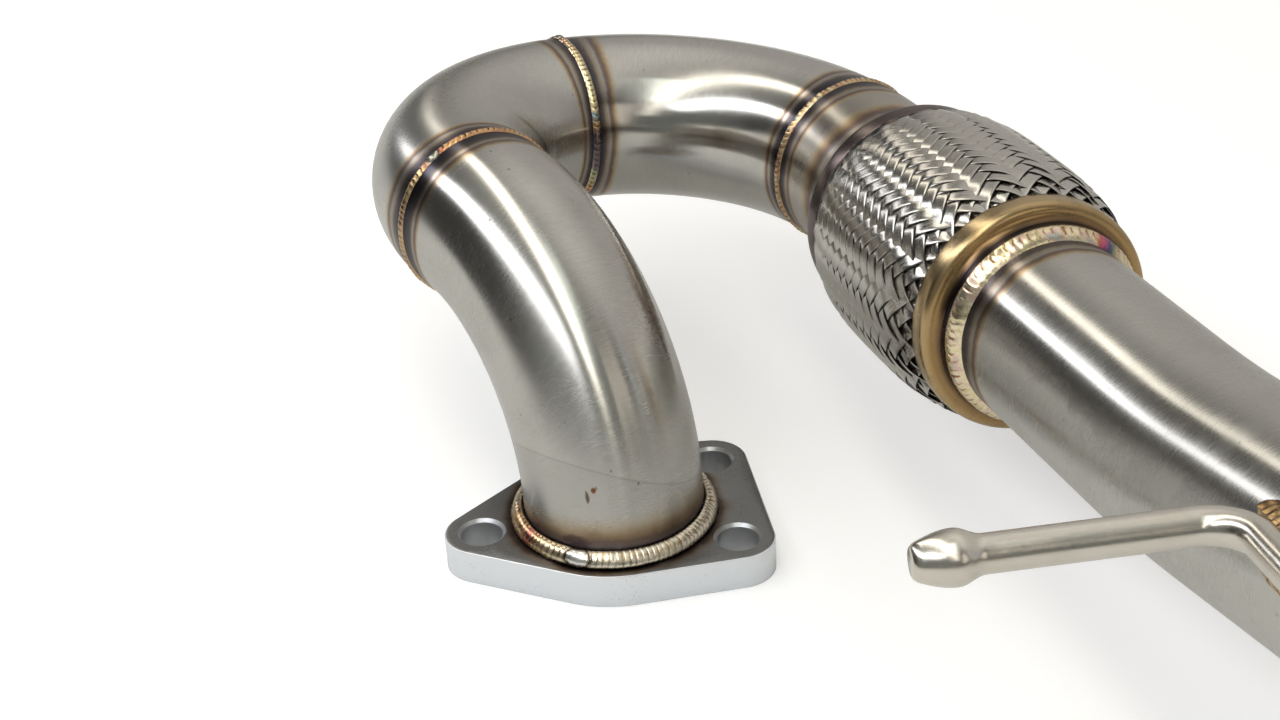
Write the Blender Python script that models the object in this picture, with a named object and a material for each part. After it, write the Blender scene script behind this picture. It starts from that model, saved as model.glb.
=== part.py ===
"""Exhaust j-pipe: a three-bolt flange, four welded mandrel bends, a braided flex joint and the outlet pipe.

Metres, +Z up. The origin is the centre of the flange bore on the sealing face, and the pipe leaves
the flange along +Z. Every section frame is carried along the pipe without rolling: its Z is the
heading of the pipe, and a bend's plane is given by the angle from the frame's X towards its Y.
"""

import math

import bmesh
import bpy
from mathutils import Matrix, Vector

# Tube and fits
TUBE_OD = 0.0635
TUBE_WALL = 0.00165
GAP = 0.0003
MERGE = GAP / 100
SIDES = 20
BEND_STEP = 10.0
SMOOTH_ANGLE = 32.0

# Inlet flange
FLANGE_THICKNESS = 0.0127
FLANGE_LAND = 0.00835
FLANGE_CORNER_RADIUS = 0.0131
FLANGE_CORNER_STEP = 15.0
FLANGE_CHAMFER = 0.0008
LEFT_BOLT_REACH = 0.01558
LEFT_BOLT_DIRECTION = 190.04
RIGHT_BOLT_REACH = 0.01509
RIGHT_BOLT_DIRECTION = -27.0
BACK_BOLT_REACH = 0.01358
BACK_BOLT_DIRECTION = 37.7
BOLT_BORE = 0.0148
BOLT_CHAMFER = 0.0011
BOLT_SIDES = 16
FOOT_RECESS = 0.003

# Bends: radius of the centre line, angle, and the direction of the bend's plane
LEG_ABOVE_FLANGE = 0.006
FIRST_RADIUS = 0.0762
FIRST_ANGLE = 90.0
FIRST_PLANE = 119.0
FIRST_TANGENT = 0.0092
SECOND_LEAD = 0.0002
SECOND_RADIUS = 0.0635
SECOND_ANGLE = 96.5
SECOND_PLANE = 35.5
SECOND_TANGENT = 0.0012
THIRD_RADIUS = 0.0841
THIRD_ANGLE = 84.0
THIRD_PLANE = 34.0
FOURTH_RADIUS = 0.0882
FOURTH_ANGLE = 13.0
FOURTH_PLANE = 26.0
FOURTH_TANGENT = 0.0287
OUTLET_LEAD = 0.0765
OUTLET_RADIUS = 0.280
OUTLET_ANGLE = 10.5
OUTLET_PLANE = -31.0
OUTLET_TANGENT = 0.120

# Welds. A curve lists points along a bead's face, as shares of its two sides.
ROOT_GAP = 0.0016
ROOT_DEPTH = 0.0013
CROWN_WIDTH = 0.0034
CROWN_HEIGHT = 0.0008
FLANGE_WELD_LEG = 0.0045
FLANGE_WELD_HEIGHT = 0.0050
BORE_WELD_DEPTH = 0.0015
NECK_WELD_LENGTH = 0.0048
RIPPLE = 0.0003
CROWN_SHOULDER = (0.5, 0.8)
FILLET_CURVE = ((1.0, 0.0), (0.92, 0.26), (0.58, 0.70), (0.16, 0.98), (0.0, 1.0))
BORE_WELD_FACE = (0.4, 0.7)
NECK_CURVE = ((1.0, 0.0), (0.96, 0.30), (0.52, 0.76), (0.0, 1.0))

# Flex joint
FLEX_LENGTH = 0.113
NECK_LAP = 0.008
NECK_LENGTH = 0.0022
NECK_WALL = 0.0016
CAP_WALL = 0.0015
CAP_RIM_RISE = 0.00585
CAP_RIM_WIDTH = 0.006
CAP_LIP = 0.0005
LINER_WALL = 0.0005
LINER_SWELL = 0.0012
BELLOWS_WALL = 0.0004
BELLOWS_ROOT_RISE = 0.00175
BELLOWS_COUNT = 6
BELLOWS_SHORT = 0.0075
BELLOWS_CREST_SHARE = 0.35
BELLOWS_ROOT_SHARE = 0.26

# Braid: strands of flat wire, two over and two under
BRAID_STRANDS = 36
BRAID_ROWS = 28
BRAID_BULGE = 0.0074
BRAID_RELIEF = 0.0009
BRAID_WALL = 0.0020
BRAID_TUCK = 0.0044
BRAID_MOUTH = 0.0005
BRAID_BORE_STATIONS = (-1.0, -0.9, -0.6, 0.0, 0.6, 0.9, 1.0)
WEAVE_REPEAT = 4

# Hanger rod
ROD_DIAMETER = 0.0106
ROD_SIDES = 16
ROD_LEG = 0.0861
ROD_BEND_RADIUS = 0.014
ROD_BEND_STEPS = 6
ROD_FOOT = 0.040
ROD_FOOT_SLANT = 7.7
ROD_RISE = 59.4
ROD_SWING = 106.2
ROD_END_CHAMFER = 0.001
BULB_LENGTH = 0.019
BULB_RADIUS = 0.0076
BULB_WIDEST = 0.0115
BULB_TIP_RADIUS = 0.0047
BULB_STEPS = 3
HANGER_STATION = 0.0649
HANGER_AROUND = 8.8
HANGER_WELD_TOE = 0.0080
HANGER_WELD_CLIMB = 75.0
HANGER_WELD_CROWN = 0.0006
HANGER_WELD_LEFT_START = -0.002
HANGER_WELD_LEFT_END = 0.032
HANGER_WELD_RIGHT_START = 0.014
HANGER_WELD_RIGHT_END = 0.034
HANGER_WELD_STEP = 0.0034
HANGER_WELD_END_SIZE = 0.6
HANGER_WELD_RIPPLE = 0.08

TUBE_RADIUS = TUBE_OD / 2
BORE_RADIUS = TUBE_RADIUS - TUBE_WALL
WELD_FLOOR = TUBE_RADIUS + GAP
LINER_CUFF_RADIUS = WELD_FLOOR + LINER_WALL
BELLOWS_CUFF_RADIUS = LINER_CUFF_RADIUS + GAP + BELLOWS_WALL
NECK_BORE = BELLOWS_CUFF_RADIUS + GAP
NECK_RADIUS = NECK_BORE + NECK_WALL
CAP_CURVE = CAP_RIM_RISE / 2
CAP_RIM_RADIUS = NECK_RADIUS + CAP_RIM_RISE
BELLOWS_ROOT_RADIUS = BELLOWS_CUFF_RADIUS + BELLOWS_ROOT_RISE
BELLOWS_CREST_RADIUS = CAP_RIM_RADIUS
BRAID_HALF = FLEX_LENGTH / 2 - NECK_LENGTH - CAP_RIM_RISE - CAP_RIM_WIDTH - BRAID_MOUTH
BELLOWS_HALF = BRAID_HALF - BELLOWS_SHORT
BELLOWS_PITCH = 2 * BELLOWS_HALF / BELLOWS_COUNT
ROD_RADIUS = ROD_DIAMETER / 2

STEEL = (0.62, 0.60, 0.57)
COLOURS = {
    "inlet_flange": ((0.60, 0.61, 0.63), 0.45),
    "inlet_flange_weld": ((0.72, 0.66, 0.52), 0.35),
    "inlet_bore_weld": ((0.55, 0.47, 0.36), 0.45),
    "first_bend": (STEEL, 0.32),
    "first_butt_weld": ((0.50, 0.36, 0.22), 0.35),
    "second_bend": ((0.58, 0.56, 0.53), 0.38),
    "second_butt_weld": ((0.55, 0.47, 0.32), 0.35),
    "third_bend": (STEEL, 0.28),
    "third_butt_weld": ((0.48, 0.37, 0.25), 0.35),
    "fourth_bend": ((0.55, 0.51, 0.47), 0.34),
    "flex_inlet_weld": ((0.42, 0.32, 0.24), 0.40),
    "flex_inlet_cap": ((0.33, 0.24, 0.19), 0.38),
    "flex_liner": ((0.50, 0.49, 0.47), 0.45),
    "flex_bellows": ((0.52, 0.50, 0.48), 0.40),
    "flex_braid": ((0.66, 0.65, 0.62), 0.30),
    "flex_outlet_cap": ((0.58, 0.43, 0.22), 0.34),
    "flex_outlet_weld": ((0.76, 0.65, 0.42), 0.32),
    "outlet_pipe": (STEEL, 0.30),
    "hanger_rod": ((0.70, 0.70, 0.69), 0.22),
    "hanger_weld_left": ((0.55, 0.42, 0.28), 0.40),
    "hanger_weld_right": ((0.55, 0.42, 0.28), 0.40),
}


def clear_scene():
    for obj in list(bpy.data.objects):
        bpy.data.objects.remove(obj, do_unlink=True)


def metal(name):
    colour, roughness = COLOURS[name]
    material = bpy.data.materials.new(name)
    material.use_nodes = True
    shader = material.node_tree.nodes["Principled BSDF"]
    shader.inputs["Base Color"].default_value = (*colour, 1.0)
    shader.inputs["Metallic"].default_value = 1.0
    shader.inputs["Roughness"].default_value = roughness
    return material


def object_from(bm, name, matrix=None, parent=None):
    """Turns a bmesh into a named object with its own metal, placed by its matrix."""
    bmesh.ops.recalc_face_normals(bm, faces=bm.faces)
    mesh = bpy.data.meshes.new(name)
    bm.to_mesh(mesh)
    bm.free()
    mesh.shade_smooth()
    mesh.set_sharp_from_angle(angle=math.radians(SMOOTH_ANGLE))
    mesh.materials.append(metal(name))
    obj = bpy.data.objects.new(name, mesh)
    bpy.context.scene.collection.objects.link(obj)
    obj.parent = parent
    obj.matrix_local = matrix or Matrix.Identity(4)
    return obj


def straight(length):
    return Matrix.Translation((0.0, 0.0, length))


def bend(radius, angle, plane):
    """The move along an arc that turns the heading by angle towards the direction plane."""
    aim = Matrix.Rotation(math.radians(plane), 4, "Z")
    centre = Matrix.Translation((radius, 0.0, 0.0))
    turn = Matrix.Rotation(math.radians(angle), 4, "Y")
    return aim @ centre @ turn @ centre.inverted() @ aim.inverted()


def bend_moves(radius, angle, plane):
    steps = max(1, round(angle / BEND_STEP))
    return [bend(radius, angle / steps, plane)] * steps


def after(start, moves):
    for move in moves:
        start = start @ move
    return start


def around(radius, angle, z=0.0):
    return Vector((radius * math.cos(angle), radius * math.sin(angle), z))


def circle_points(radius, sides, z=0.0):
    return [around(radius, 2 * math.pi * k / sides, z) for k in range(sides)]


def push(bm, faces, matrix):
    """Extrudes the faces and moves the new end by the matrix. The first faces stay, as the start cap."""
    neighbours = {face for edge in faces[0].edges for face in edge.link_faces}
    made = bmesh.ops.extrude_face_region(bm, geom=faces)["geom"]
    verts = [item for item in made if isinstance(item, bmesh.types.BMVert)]
    bmesh.ops.transform(bm, matrix=matrix, verts=verts)
    if not neighbours <= set(faces):
        bmesh.ops.delete(bm, geom=faces, context="FACES")
    return [item for item in made if isinstance(item, bmesh.types.BMFace)]


def tube(name, start, moves):
    """A round tube that starts square at a station and follows the moves."""
    bm = bmesh.new()
    outer = [bm.verts.new(p) for p in circle_points(TUBE_RADIUS, SIDES)]
    inner = [bm.verts.new(p) for p in circle_points(BORE_RADIUS, SIDES)]
    end = []
    for k in range(SIDES):
        after_k = (k + 1) % SIDES
        end.append(bm.faces.new((outer[k], outer[after_k], inner[after_k], inner[k])))
    frame = Matrix.Identity(4)
    for move in moves:
        end = push(bm, end, frame @ move @ frame.inverted())
        frame = frame @ move
    return object_from(bm, name, start)


def spun(profile, sides, closed):
    """Spins a profile of (radius, z) points once round Z; a closed one joins its last point to its first."""
    bm = bmesh.new()
    verts = [bm.verts.new((radius, 0.0, z)) for radius, z in profile]
    pairs = list(zip(verts, verts[1:]))
    if closed:
        pairs.append((verts[-1], verts[0]))
    edges = [bm.edges.new(pair) for pair in pairs]
    bmesh.ops.spin(
        bm,
        geom=verts + edges,
        cent=(0.0, 0.0, 0.0),
        axis=(0.0, 0.0, 1.0),
        angle=2 * math.pi,
        steps=sides,
        use_merge=True,
    )
    return bm


def turned(name, profile, matrix, parent=None, sides=SIDES, ripple=()):
    """Turns a closed profile into a ring; ripple lists the points that dip on every other step."""
    bm = spun(profile, sides, closed=True)
    dips = [profile[k] for k in ripple]
    for vert in bm.verts:
        radius = math.hypot(vert.co.x, vert.co.y)
        step = round(math.atan2(vert.co.y, vert.co.x) * sides / (2 * math.pi))
        rippled = any(abs(radius - r) + abs(vert.co.z - z) < MERGE for r, z in dips)
        if rippled and step % 2:
            shrink = (radius - RIPPLE) / radius
            vert.co.x *= shrink
            vert.co.y *= shrink
    return object_from(bm, name, matrix, parent)


def tangent_normal(first, second):
    """The outward normal of the outer tangent from one circle to the next, going anticlockwise."""
    (x1, y1, r1), (x2, y2, r2) = first, second
    span = Vector((x2 - x1, y2 - y1))
    lean = (r1 - r2) / span.length
    span.normalize()
    return span * lean + Vector((span.y, -span.x)) * math.sqrt(1 - lean * lean)


def bolt_centres():
    """The three bolt holes, each at its reach beyond the tube bore."""
    reaches = (LEFT_BOLT_REACH, RIGHT_BOLT_REACH, BACK_BOLT_REACH)
    directions = (LEFT_BOLT_DIRECTION, RIGHT_BOLT_DIRECTION, BACK_BOLT_DIRECTION)
    return [around(WELD_FLOOR + reach, math.radians(turn)) for reach, turn in zip(reaches, directions)]


def flange_outline():
    """The rounded triangle around the hub and the three bolt corners, as arcs joined by tangents."""
    left, right, back = [(spot.x, spot.y, FLANGE_CORNER_RADIUS) for spot in bolt_centres()]
    hub = (0.0, 0.0, WELD_FLOOR + FLANGE_LAND)
    circles = [left, hub, right, back, hub]
    points = []
    for k, (x, y, radius) in enumerate(circles):
        arriving = tangent_normal(circles[k - 1], circles[k])
        leaving = tangent_normal(circles[k], circles[(k + 1) % len(circles)])
        start = math.atan2(arriving.y, arriving.x)
        sweep = (math.atan2(leaving.y, leaving.x) - start) % (2 * math.pi)
        steps = max(2, round(math.degrees(sweep) / FLANGE_CORNER_STEP))
        for step in range(steps + 1):
            points.append(Vector((x, y, 0.0)) + around(radius, start + sweep * step / steps))
    return points


def cutter(name, target, profile, location, sides):
    """A turned solid that a Boolean takes out of the target; its profile runs from axis to axis."""
    bm = spun(profile, sides, closed=False)
    bmesh.ops.remove_doubles(bm, verts=bm.verts, dist=MERGE)
    bmesh.ops.recalc_face_normals(bm, faces=bm.faces)
    mesh = bpy.data.meshes.new(name)
    bm.to_mesh(mesh)
    bm.free()
    obj = bpy.data.objects.new(name, mesh)
    bpy.context.scene.collection.objects.link(obj)
    obj.location = location
    obj.hide_render = True
    obj.display_type = "WIRE"
    boolean = target.modifiers.new(name, "BOOLEAN")
    boolean.operation = "DIFFERENCE"
    boolean.solver = "EXACT"
    boolean.object = obj


def inlet_flange():
    """The plate with chamfered edges, the tube bore and three chamfered bolt holes."""
    bm = bmesh.new()
    face = bm.faces.new([bm.verts.new(point) for point in flange_outline()])
    push(bm, [face], straight(FLANGE_THICKNESS))
    rims = [edge for edge in bm.edges if edge.verts[0].co.z == edge.verts[1].co.z]
    bmesh.ops.bevel(
        bm,
        geom=rims,
        offset=FLANGE_CHAMFER,
        offset_type="OFFSET",
        segments=1,
        profile=0.5,
        affect="EDGES",
        material=-1,
    )
    plate = object_from(bm, "inlet_flange")
    over = FLANGE_THICKNESS / 4
    bore = [(0.0, -over), (WELD_FLOOR, -over), (WELD_FLOOR, FLANGE_THICKNESS + over)]
    cutter("tube_bore", plate, bore + [(0.0, FLANGE_THICKNESS + over)], (0, 0, 0), SIDES)
    hole = BOLT_BORE / 2
    mouth = hole + BOLT_CHAMFER + over
    drill = [
        (0.0, -over),
        (mouth, -over),
        (hole, BOLT_CHAMFER),
        (hole, FLANGE_THICKNESS - BOLT_CHAMFER),
        (mouth, FLANGE_THICKNESS + over),
        (0.0, FLANGE_THICKNESS + over),
    ]
    for number, spot in enumerate(bolt_centres(), 1):
        cutter(f"bolt_hole_{number}", plate, drill, spot, BOLT_SIDES)


def flange_welds():
    """The fillet round the tube's foot, and the bead inside the bore on the recessed end."""
    top = FLANGE_THICKNESS + GAP
    fillet = [(WELD_FLOOR, top)]
    for out, up in FILLET_CURVE:
        fillet.append((WELD_FLOOR + out * FLANGE_WELD_LEG, top + up * FLANGE_WELD_HEIGHT))
    turned("inlet_flange_weld", fillet, Matrix.Identity(4), sides=2 * SIDES, ripple=(2, 3))
    shelf = FOOT_RECESS - GAP
    out, down = BORE_WELD_FACE
    bead = [
        (TUBE_RADIUS, shelf),
        (BORE_RADIUS + GAP, shelf),
        (BORE_RADIUS + out * TUBE_WALL, shelf - down * BORE_WELD_DEPTH),
        (TUBE_RADIUS, shelf - BORE_WELD_DEPTH),
    ]
    turned("inlet_bore_weld", bead, Matrix.Identity(4))


def butt_weld(name, station):
    """The ring between two tube ends: a root in the gap and a crown that laps both tubes."""
    root = ROOT_GAP / 2 - GAP
    wide = CROWN_WIDTH / 2
    shoulder = CROWN_SHOULDER[0] * wide
    crown = WELD_FLOOR + CROWN_SHOULDER[1] * CROWN_HEIGHT
    profile = [
        (TUBE_RADIUS - ROOT_DEPTH, -root),
        (TUBE_RADIUS - ROOT_DEPTH, root),
        (WELD_FLOOR, root),
        (WELD_FLOOR, wide),
        (crown, shoulder),
        (crown, -shoulder),
        (WELD_FLOOR, -wide),
        (WELD_FLOOR, -root),
    ]
    turned(name, profile, station)


def neck_weld(name, matrix, parent, sides, ripple):
    """The fillet from a cap's neck down to the tube, past the end of the neck."""
    start = FLEX_LENGTH / 2 + GAP
    rise = NECK_RADIUS - WELD_FLOOR
    profile = [(WELD_FLOOR, start)]
    for up, along in NECK_CURVE:
        profile.append((WELD_FLOOR + up * rise, start + along * NECK_WELD_LENGTH))
    turned(name, profile, matrix, parent, sides=sides, ripple=ripple)


def cap_profile():
    """The end cap: a neck that takes the bellows cuff, an ogee shoulder and the rim over the braid's end."""
    half = FLEX_LENGTH / 2
    shoulder = half - NECK_LENGTH
    rim_start = shoulder - CAP_RIM_RISE
    edge = rim_start - CAP_RIM_WIDTH
    rim_bore = CAP_RIM_RADIUS - CAP_WALL
    outer = [(NECK_RADIUS, half)]
    inner = [(NECK_BORE, half)]
    for degrees in (0.0, 45.0, 90.0):
        low = math.radians(degrees)
        away = 1 - math.cos(low)
        outer.append((NECK_RADIUS + CAP_CURVE * away, shoulder - CAP_CURVE * math.sin(low)))
    for degrees in (45.0, 90.0):
        high = math.radians(degrees)
        away = 1 - math.sin(high)
        outer.append((CAP_RIM_RADIUS - CAP_CURVE * away, rim_start + CAP_CURVE * math.cos(high)))
    outer += [(CAP_RIM_RADIUS, edge + CAP_LIP), (CAP_RIM_RADIUS - CAP_LIP, edge)]
    middle = (NECK_BORE + rim_bore) / 2
    inner += [
        (NECK_BORE, shoulder - CAP_WALL / 2),
        (middle, rim_start + CAP_CURVE - CAP_WALL / 2),
        (rim_bore, rim_start - CAP_WALL / 4),
        (rim_bore, edge),
    ]
    return outer + inner[::-1]


def flex_caps(axis):
    turned("flex_outlet_cap", cap_profile(), Matrix.Identity(4), axis)
    turned("flex_inlet_cap", cap_profile(), Matrix.Rotation(math.pi, 4, "X"), axis)


def flex_liner(axis):
    """The thin inner sleeve that carries the gas past the bellows, with a swelled middle."""
    end = FLEX_LENGTH / 2 - GAP
    wide = BELLOWS_HALF - 2 * LINER_SWELL
    outside = [(LINER_CUFF_RADIUS, end), (LINER_CUFF_RADIUS, BELLOWS_HALF)]
    outside.append((LINER_CUFF_RADIUS + LINER_SWELL, wide))
    outside += [(radius, -z) for radius, z in outside[::-1]]
    inside = [(radius - LINER_WALL, z) for radius, z in outside[::-1]]
    turned("flex_liner", outside + inside, Matrix.Identity(4), axis)


def flex_bellows(axis):
    """The gas-tight bellows: thin convolutions between two cuffs."""
    end = FLEX_LENGTH / 2 - GAP
    crest = BELLOWS_CREST_SHARE * BELLOWS_PITCH / 2
    root = (1 - BELLOWS_ROOT_SHARE) * BELLOWS_PITCH / 2
    lean = (root - crest) / (BELLOWS_CREST_RADIUS - BELLOWS_ROOT_RADIUS)
    inset = BELLOWS_WALL * (math.sqrt(1 + lean * lean) - lean)
    flare = BELLOWS_HALF + BELLOWS_ROOT_RISE
    cuff_bore = BELLOWS_CUFF_RADIUS - BELLOWS_WALL
    outside = [(BELLOWS_CUFF_RADIUS, -end), (BELLOWS_CUFF_RADIUS, -flare)]
    inside = [(cuff_bore, -end), (cuff_bore, -flare)]
    for count in range(BELLOWS_COUNT):
        middle = (count + 0.5) * BELLOWS_PITCH - BELLOWS_HALF
        for radius, side in (
            (BELLOWS_ROOT_RADIUS, -root),
            (BELLOWS_CREST_RADIUS, -crest),
            (BELLOWS_CREST_RADIUS, crest),
            (BELLOWS_ROOT_RADIUS, root),
        ):
            outside.append((radius, middle + side))
            inside.append((radius - BELLOWS_WALL, middle + side - math.copysign(inset, side)))
    outside += [(BELLOWS_CUFF_RADIUS, flare), (BELLOWS_CUFF_RADIUS, end)]
    inside += [(cuff_bore, flare), (cuff_bore, end)]
    turned("flex_bellows", outside + inside[::-1], Matrix.Identity(4), axis)


def braid_end_radius():
    """The braid's end clears the flats of the cap's rim."""
    return (CAP_RIM_RADIUS - CAP_WALL) * math.cos(math.pi / SIDES) - GAP


def braid_radius(z):
    """The barrel that the braid takes between the two cap rims."""
    share = min(1.0, abs(z) / BRAID_HALF)
    return braid_end_radius() + BRAID_BULGE * math.sqrt(1 - share**3)


def flex_braid(axis):
    """The woven sleeve. Strands cross on a lattice of rows and half-columns. A float is the length of one
    strand that lies on top of two crossings, raised as a low hipped ridge above the lattice. Each row has
    a float of each direction in every WEAVE_REPEAT columns."""
    columns = 2 * BRAID_STRANDS
    bm = bmesh.new()
    points = {}

    def place(row, column, lift=0.0):
        key = (row, column % columns)
        if key not in points:
            z = BRAID_HALF * (2 * row / BRAID_ROWS - 1)
            edge = row in (0, BRAID_ROWS)
            radius = braid_radius(z) if edge else braid_radius(z) - BRAID_RELIEF + lift
            points[key] = bm.verts.new(around(radius, 2 * math.pi * column / columns, z))
        return points[key]

    covered = set()
    for row in range(1, BRAID_ROWS - 1):
        for column in range(columns):
            side = {0: 1, WEAVE_REPEAT - 1: -1}.get(column % WEAVE_REPEAT)
            if side is None or (row + column) % 2 == 0:
                continue
            low = place(row, column, BRAID_RELIEF)
            high = place(row + 1, column + side, BRAID_RELIEF)
            rim = [
                place(row - 1, column),
                place(row, column + side),
                place(row + 1, column + 2 * side),
                place(row + 2, column + side),
                place(row + 1, column),
                place(row, column - side),
            ]
            peaks = (low, high, high, high, low, low)
            for k, peak in enumerate(peaks):
                bm.faces.new((rim[k], rim[(k + 1) % 6], peak))
            bm.faces.new((rim[1], high, low))
            bm.faces.new((rim[4], low, high))
            covered |= {(row, column), (row + 1, (column + side) % columns)}
    for row in range(BRAID_ROWS + 1):
        for column in range(columns):
            if (row + column) % 2 == 0 or (row, column) in covered:
                continue
            corners = [(row - 1, column), (row, column + 1), (row + 1, column), (row, column - 1)]
            bm.faces.new([place(*corner) for corner in corners if 0 <= corner[0] <= BRAID_ROWS])

    def ring(radius, z):
        return [bm.verts.new(spot) for spot in circle_points(radius, BRAID_STRANDS, z)]

    end = BRAID_HALF + BRAID_TUCK
    thin = braid_end_radius() - BRAID_WALL
    rings = [[place(0, 2 * k) for k in range(BRAID_STRANDS)]]
    rings.append(ring(braid_end_radius(), -end))
    rings.append(ring(thin, -end))
    for share in BRAID_BORE_STATIONS:
        z = share * BRAID_HALF
        rings.append(ring(braid_radius(z) - BRAID_WALL, z))
    rings.append(ring(thin, end))
    rings.append(ring(braid_end_radius(), end))
    rings.append([place(BRAID_ROWS, 2 * k) for k in range(BRAID_STRANDS)])
    for first, second in zip(rings, rings[1:]):
        for k in range(BRAID_STRANDS):
            bm.faces.new((first[k - 1], first[k], second[k], second[k - 1]))
    object_from(bm, "flex_braid", None, axis)


def bulb_sections():
    """Distances from the tip and radii of the swaged bulb that holds the rubber hanger."""
    sections = []
    for step in range(BULB_STEPS + 1):
        share = step / BULB_STEPS
        swell = math.sin(share * math.pi / 2)
        sections.append((share * BULB_WIDEST, BULB_TIP_RADIUS + (BULB_RADIUS - BULB_TIP_RADIUS) * swell))
    for step in range(1, BULB_STEPS + 1):
        share = step / BULB_STEPS
        fall = (1 + math.cos(share * math.pi)) / 2
        distance = BULB_WIDEST + (BULB_LENGTH - BULB_WIDEST) * share
        sections.append((distance, ROD_RADIUS + (BULB_RADIUS - ROD_RADIUS) * fall))
    return sections


def hanger_directions():
    """In the pipe's frame at the hanger: the outward normal, the direction of the rod's foot along the
    pipe, and the direction from the corner to the rod's tip."""
    outward = around(1.0, math.radians(HANGER_AROUND))
    forward = Vector((0.0, 0.0, 1.0))
    across = forward.cross(outward)
    slant, rise, swing = (math.radians(a) for a in (ROD_FOOT_SLANT, ROD_RISE, ROD_SWING))
    foot = forward * math.cos(slant) + across * math.sin(slant)
    level = forward * math.cos(swing) + across * math.sin(swing)
    return outward, foot, outward * math.sin(rise) + level * math.cos(rise)


def frame_from(x_axis, z_axis, origin):
    y_axis = z_axis.cross(x_axis)
    frame = Matrix((x_axis, y_axis, z_axis)).transposed().to_4x4()
    frame.translation = origin
    return frame


def hanger_rod(station):
    """The round bar: bulb, long leg, one bend and the foot that lies along the pipe."""
    outward, foot, leg = hanger_directions()
    corner = outward * (WELD_FLOOR + ROD_RADIUS)
    heading = -leg
    toward = (foot - heading * foot.dot(heading)).normalized()
    turn = math.degrees(heading.angle(foot))
    reach = ROD_BEND_RADIUS * math.tan(math.radians(turn) / 2)
    frame = station @ frame_from(toward, heading, corner + leg * ROD_LEG)
    bm = bmesh.new()
    sections = bulb_sections()
    tip = [bm.verts.new(p) for p in circle_points(sections[0][1], ROD_SIDES)]
    end = [bm.faces.new(tip)]
    place = Matrix.Identity(4)

    def grow(moves, scale=1.0):
        nonlocal end, place
        for move in moves:
            shrink = Matrix.Diagonal((scale, scale, 1.0, 1.0))
            end = push(bm, end, place @ move @ shrink @ place.inverted())
            place = place @ move

    for (z1, r1), (z2, r2) in zip(sections, sections[1:]):
        grow([straight(z2 - z1)], r2 / r1)
    grow([straight(ROD_LEG - BULB_LENGTH - reach)])
    grow([bend(ROD_BEND_RADIUS, turn / ROD_BEND_STEPS, 0.0)] * ROD_BEND_STEPS)
    grow([straight(ROD_FOOT - reach - ROD_END_CHAMFER)])
    grow([straight(ROD_END_CHAMFER)], 1 - ROD_END_CHAMFER / ROD_RADIUS)
    object_from(bm, "hanger_rod", frame)


def hanger_weld_section(size, drift):
    """The fillet's outline across the rod's foot, with the foot's centre at zero and the pipe at -X, its
    axis off to one side by drift. It starts in the wedge between rod and pipe, and size sets how far it
    climbs them."""
    rod = ROD_RADIUS + GAP
    reach = WELD_FLOOR + ROD_RADIUS
    apart = math.hypot(reach, drift)
    wedge = min(1.0, (rod**2 + apart**2 - WELD_FLOOR**2) / (2 * rod * apart))
    root = math.atan2(drift, reach) + math.acos(wedge)
    climb = root + (math.radians(HANGER_WELD_CLIMB) - root) * size
    toe = HANGER_WELD_TOE * size
    on_rod, half_way, tip = [
        Vector((-rod * math.cos(angle), rod * math.sin(angle))) for angle in (climb, (root + climb) / 2, root)
    ]
    on_pipe = Vector((math.sqrt(WELD_FLOOR**2 - (toe - drift) ** 2) - reach, toe))
    out = Vector((on_pipe.y - on_rod.y, on_rod.x - on_pipe.x)).normalized()
    return [tip, half_way, on_rod, (on_rod + on_pipe) / 2 + out * HANGER_WELD_CROWN, on_pipe]


def hanger_weld(name, side, begin, finish, station):
    """A fillet in the wedge between the rod's foot and the pipe, on one side of the rod."""
    outward, foot, _ = hanger_directions()
    bm = bmesh.new()
    count = round((finish - begin) / HANGER_WELD_STEP)
    rows = []
    for step in range(count + 1):
        size = HANGER_WELD_END_SIZE if step in (0, count) else 1.0 - HANGER_WELD_RIPPLE * (step % 2)
        z = begin + (finish - begin) * step / count
        drift = -side * z * math.sin(math.radians(ROD_FOOT_SLANT))
        rows.append([bm.verts.new((p.x, side * p.y, z)) for p in hanger_weld_section(size, drift)])
    for first, second in zip(rows, rows[1:]):
        for k in range(len(first)):
            bm.faces.new((first[k - 1], first[k], second[k], second[k - 1]))
    bm.faces.new(rows[0])
    bm.faces.new(rows[-1])
    frame = station @ frame_from(outward, foot, outward * (WELD_FLOOR + ROD_RADIUS))
    object_from(bm, name, frame)


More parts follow.
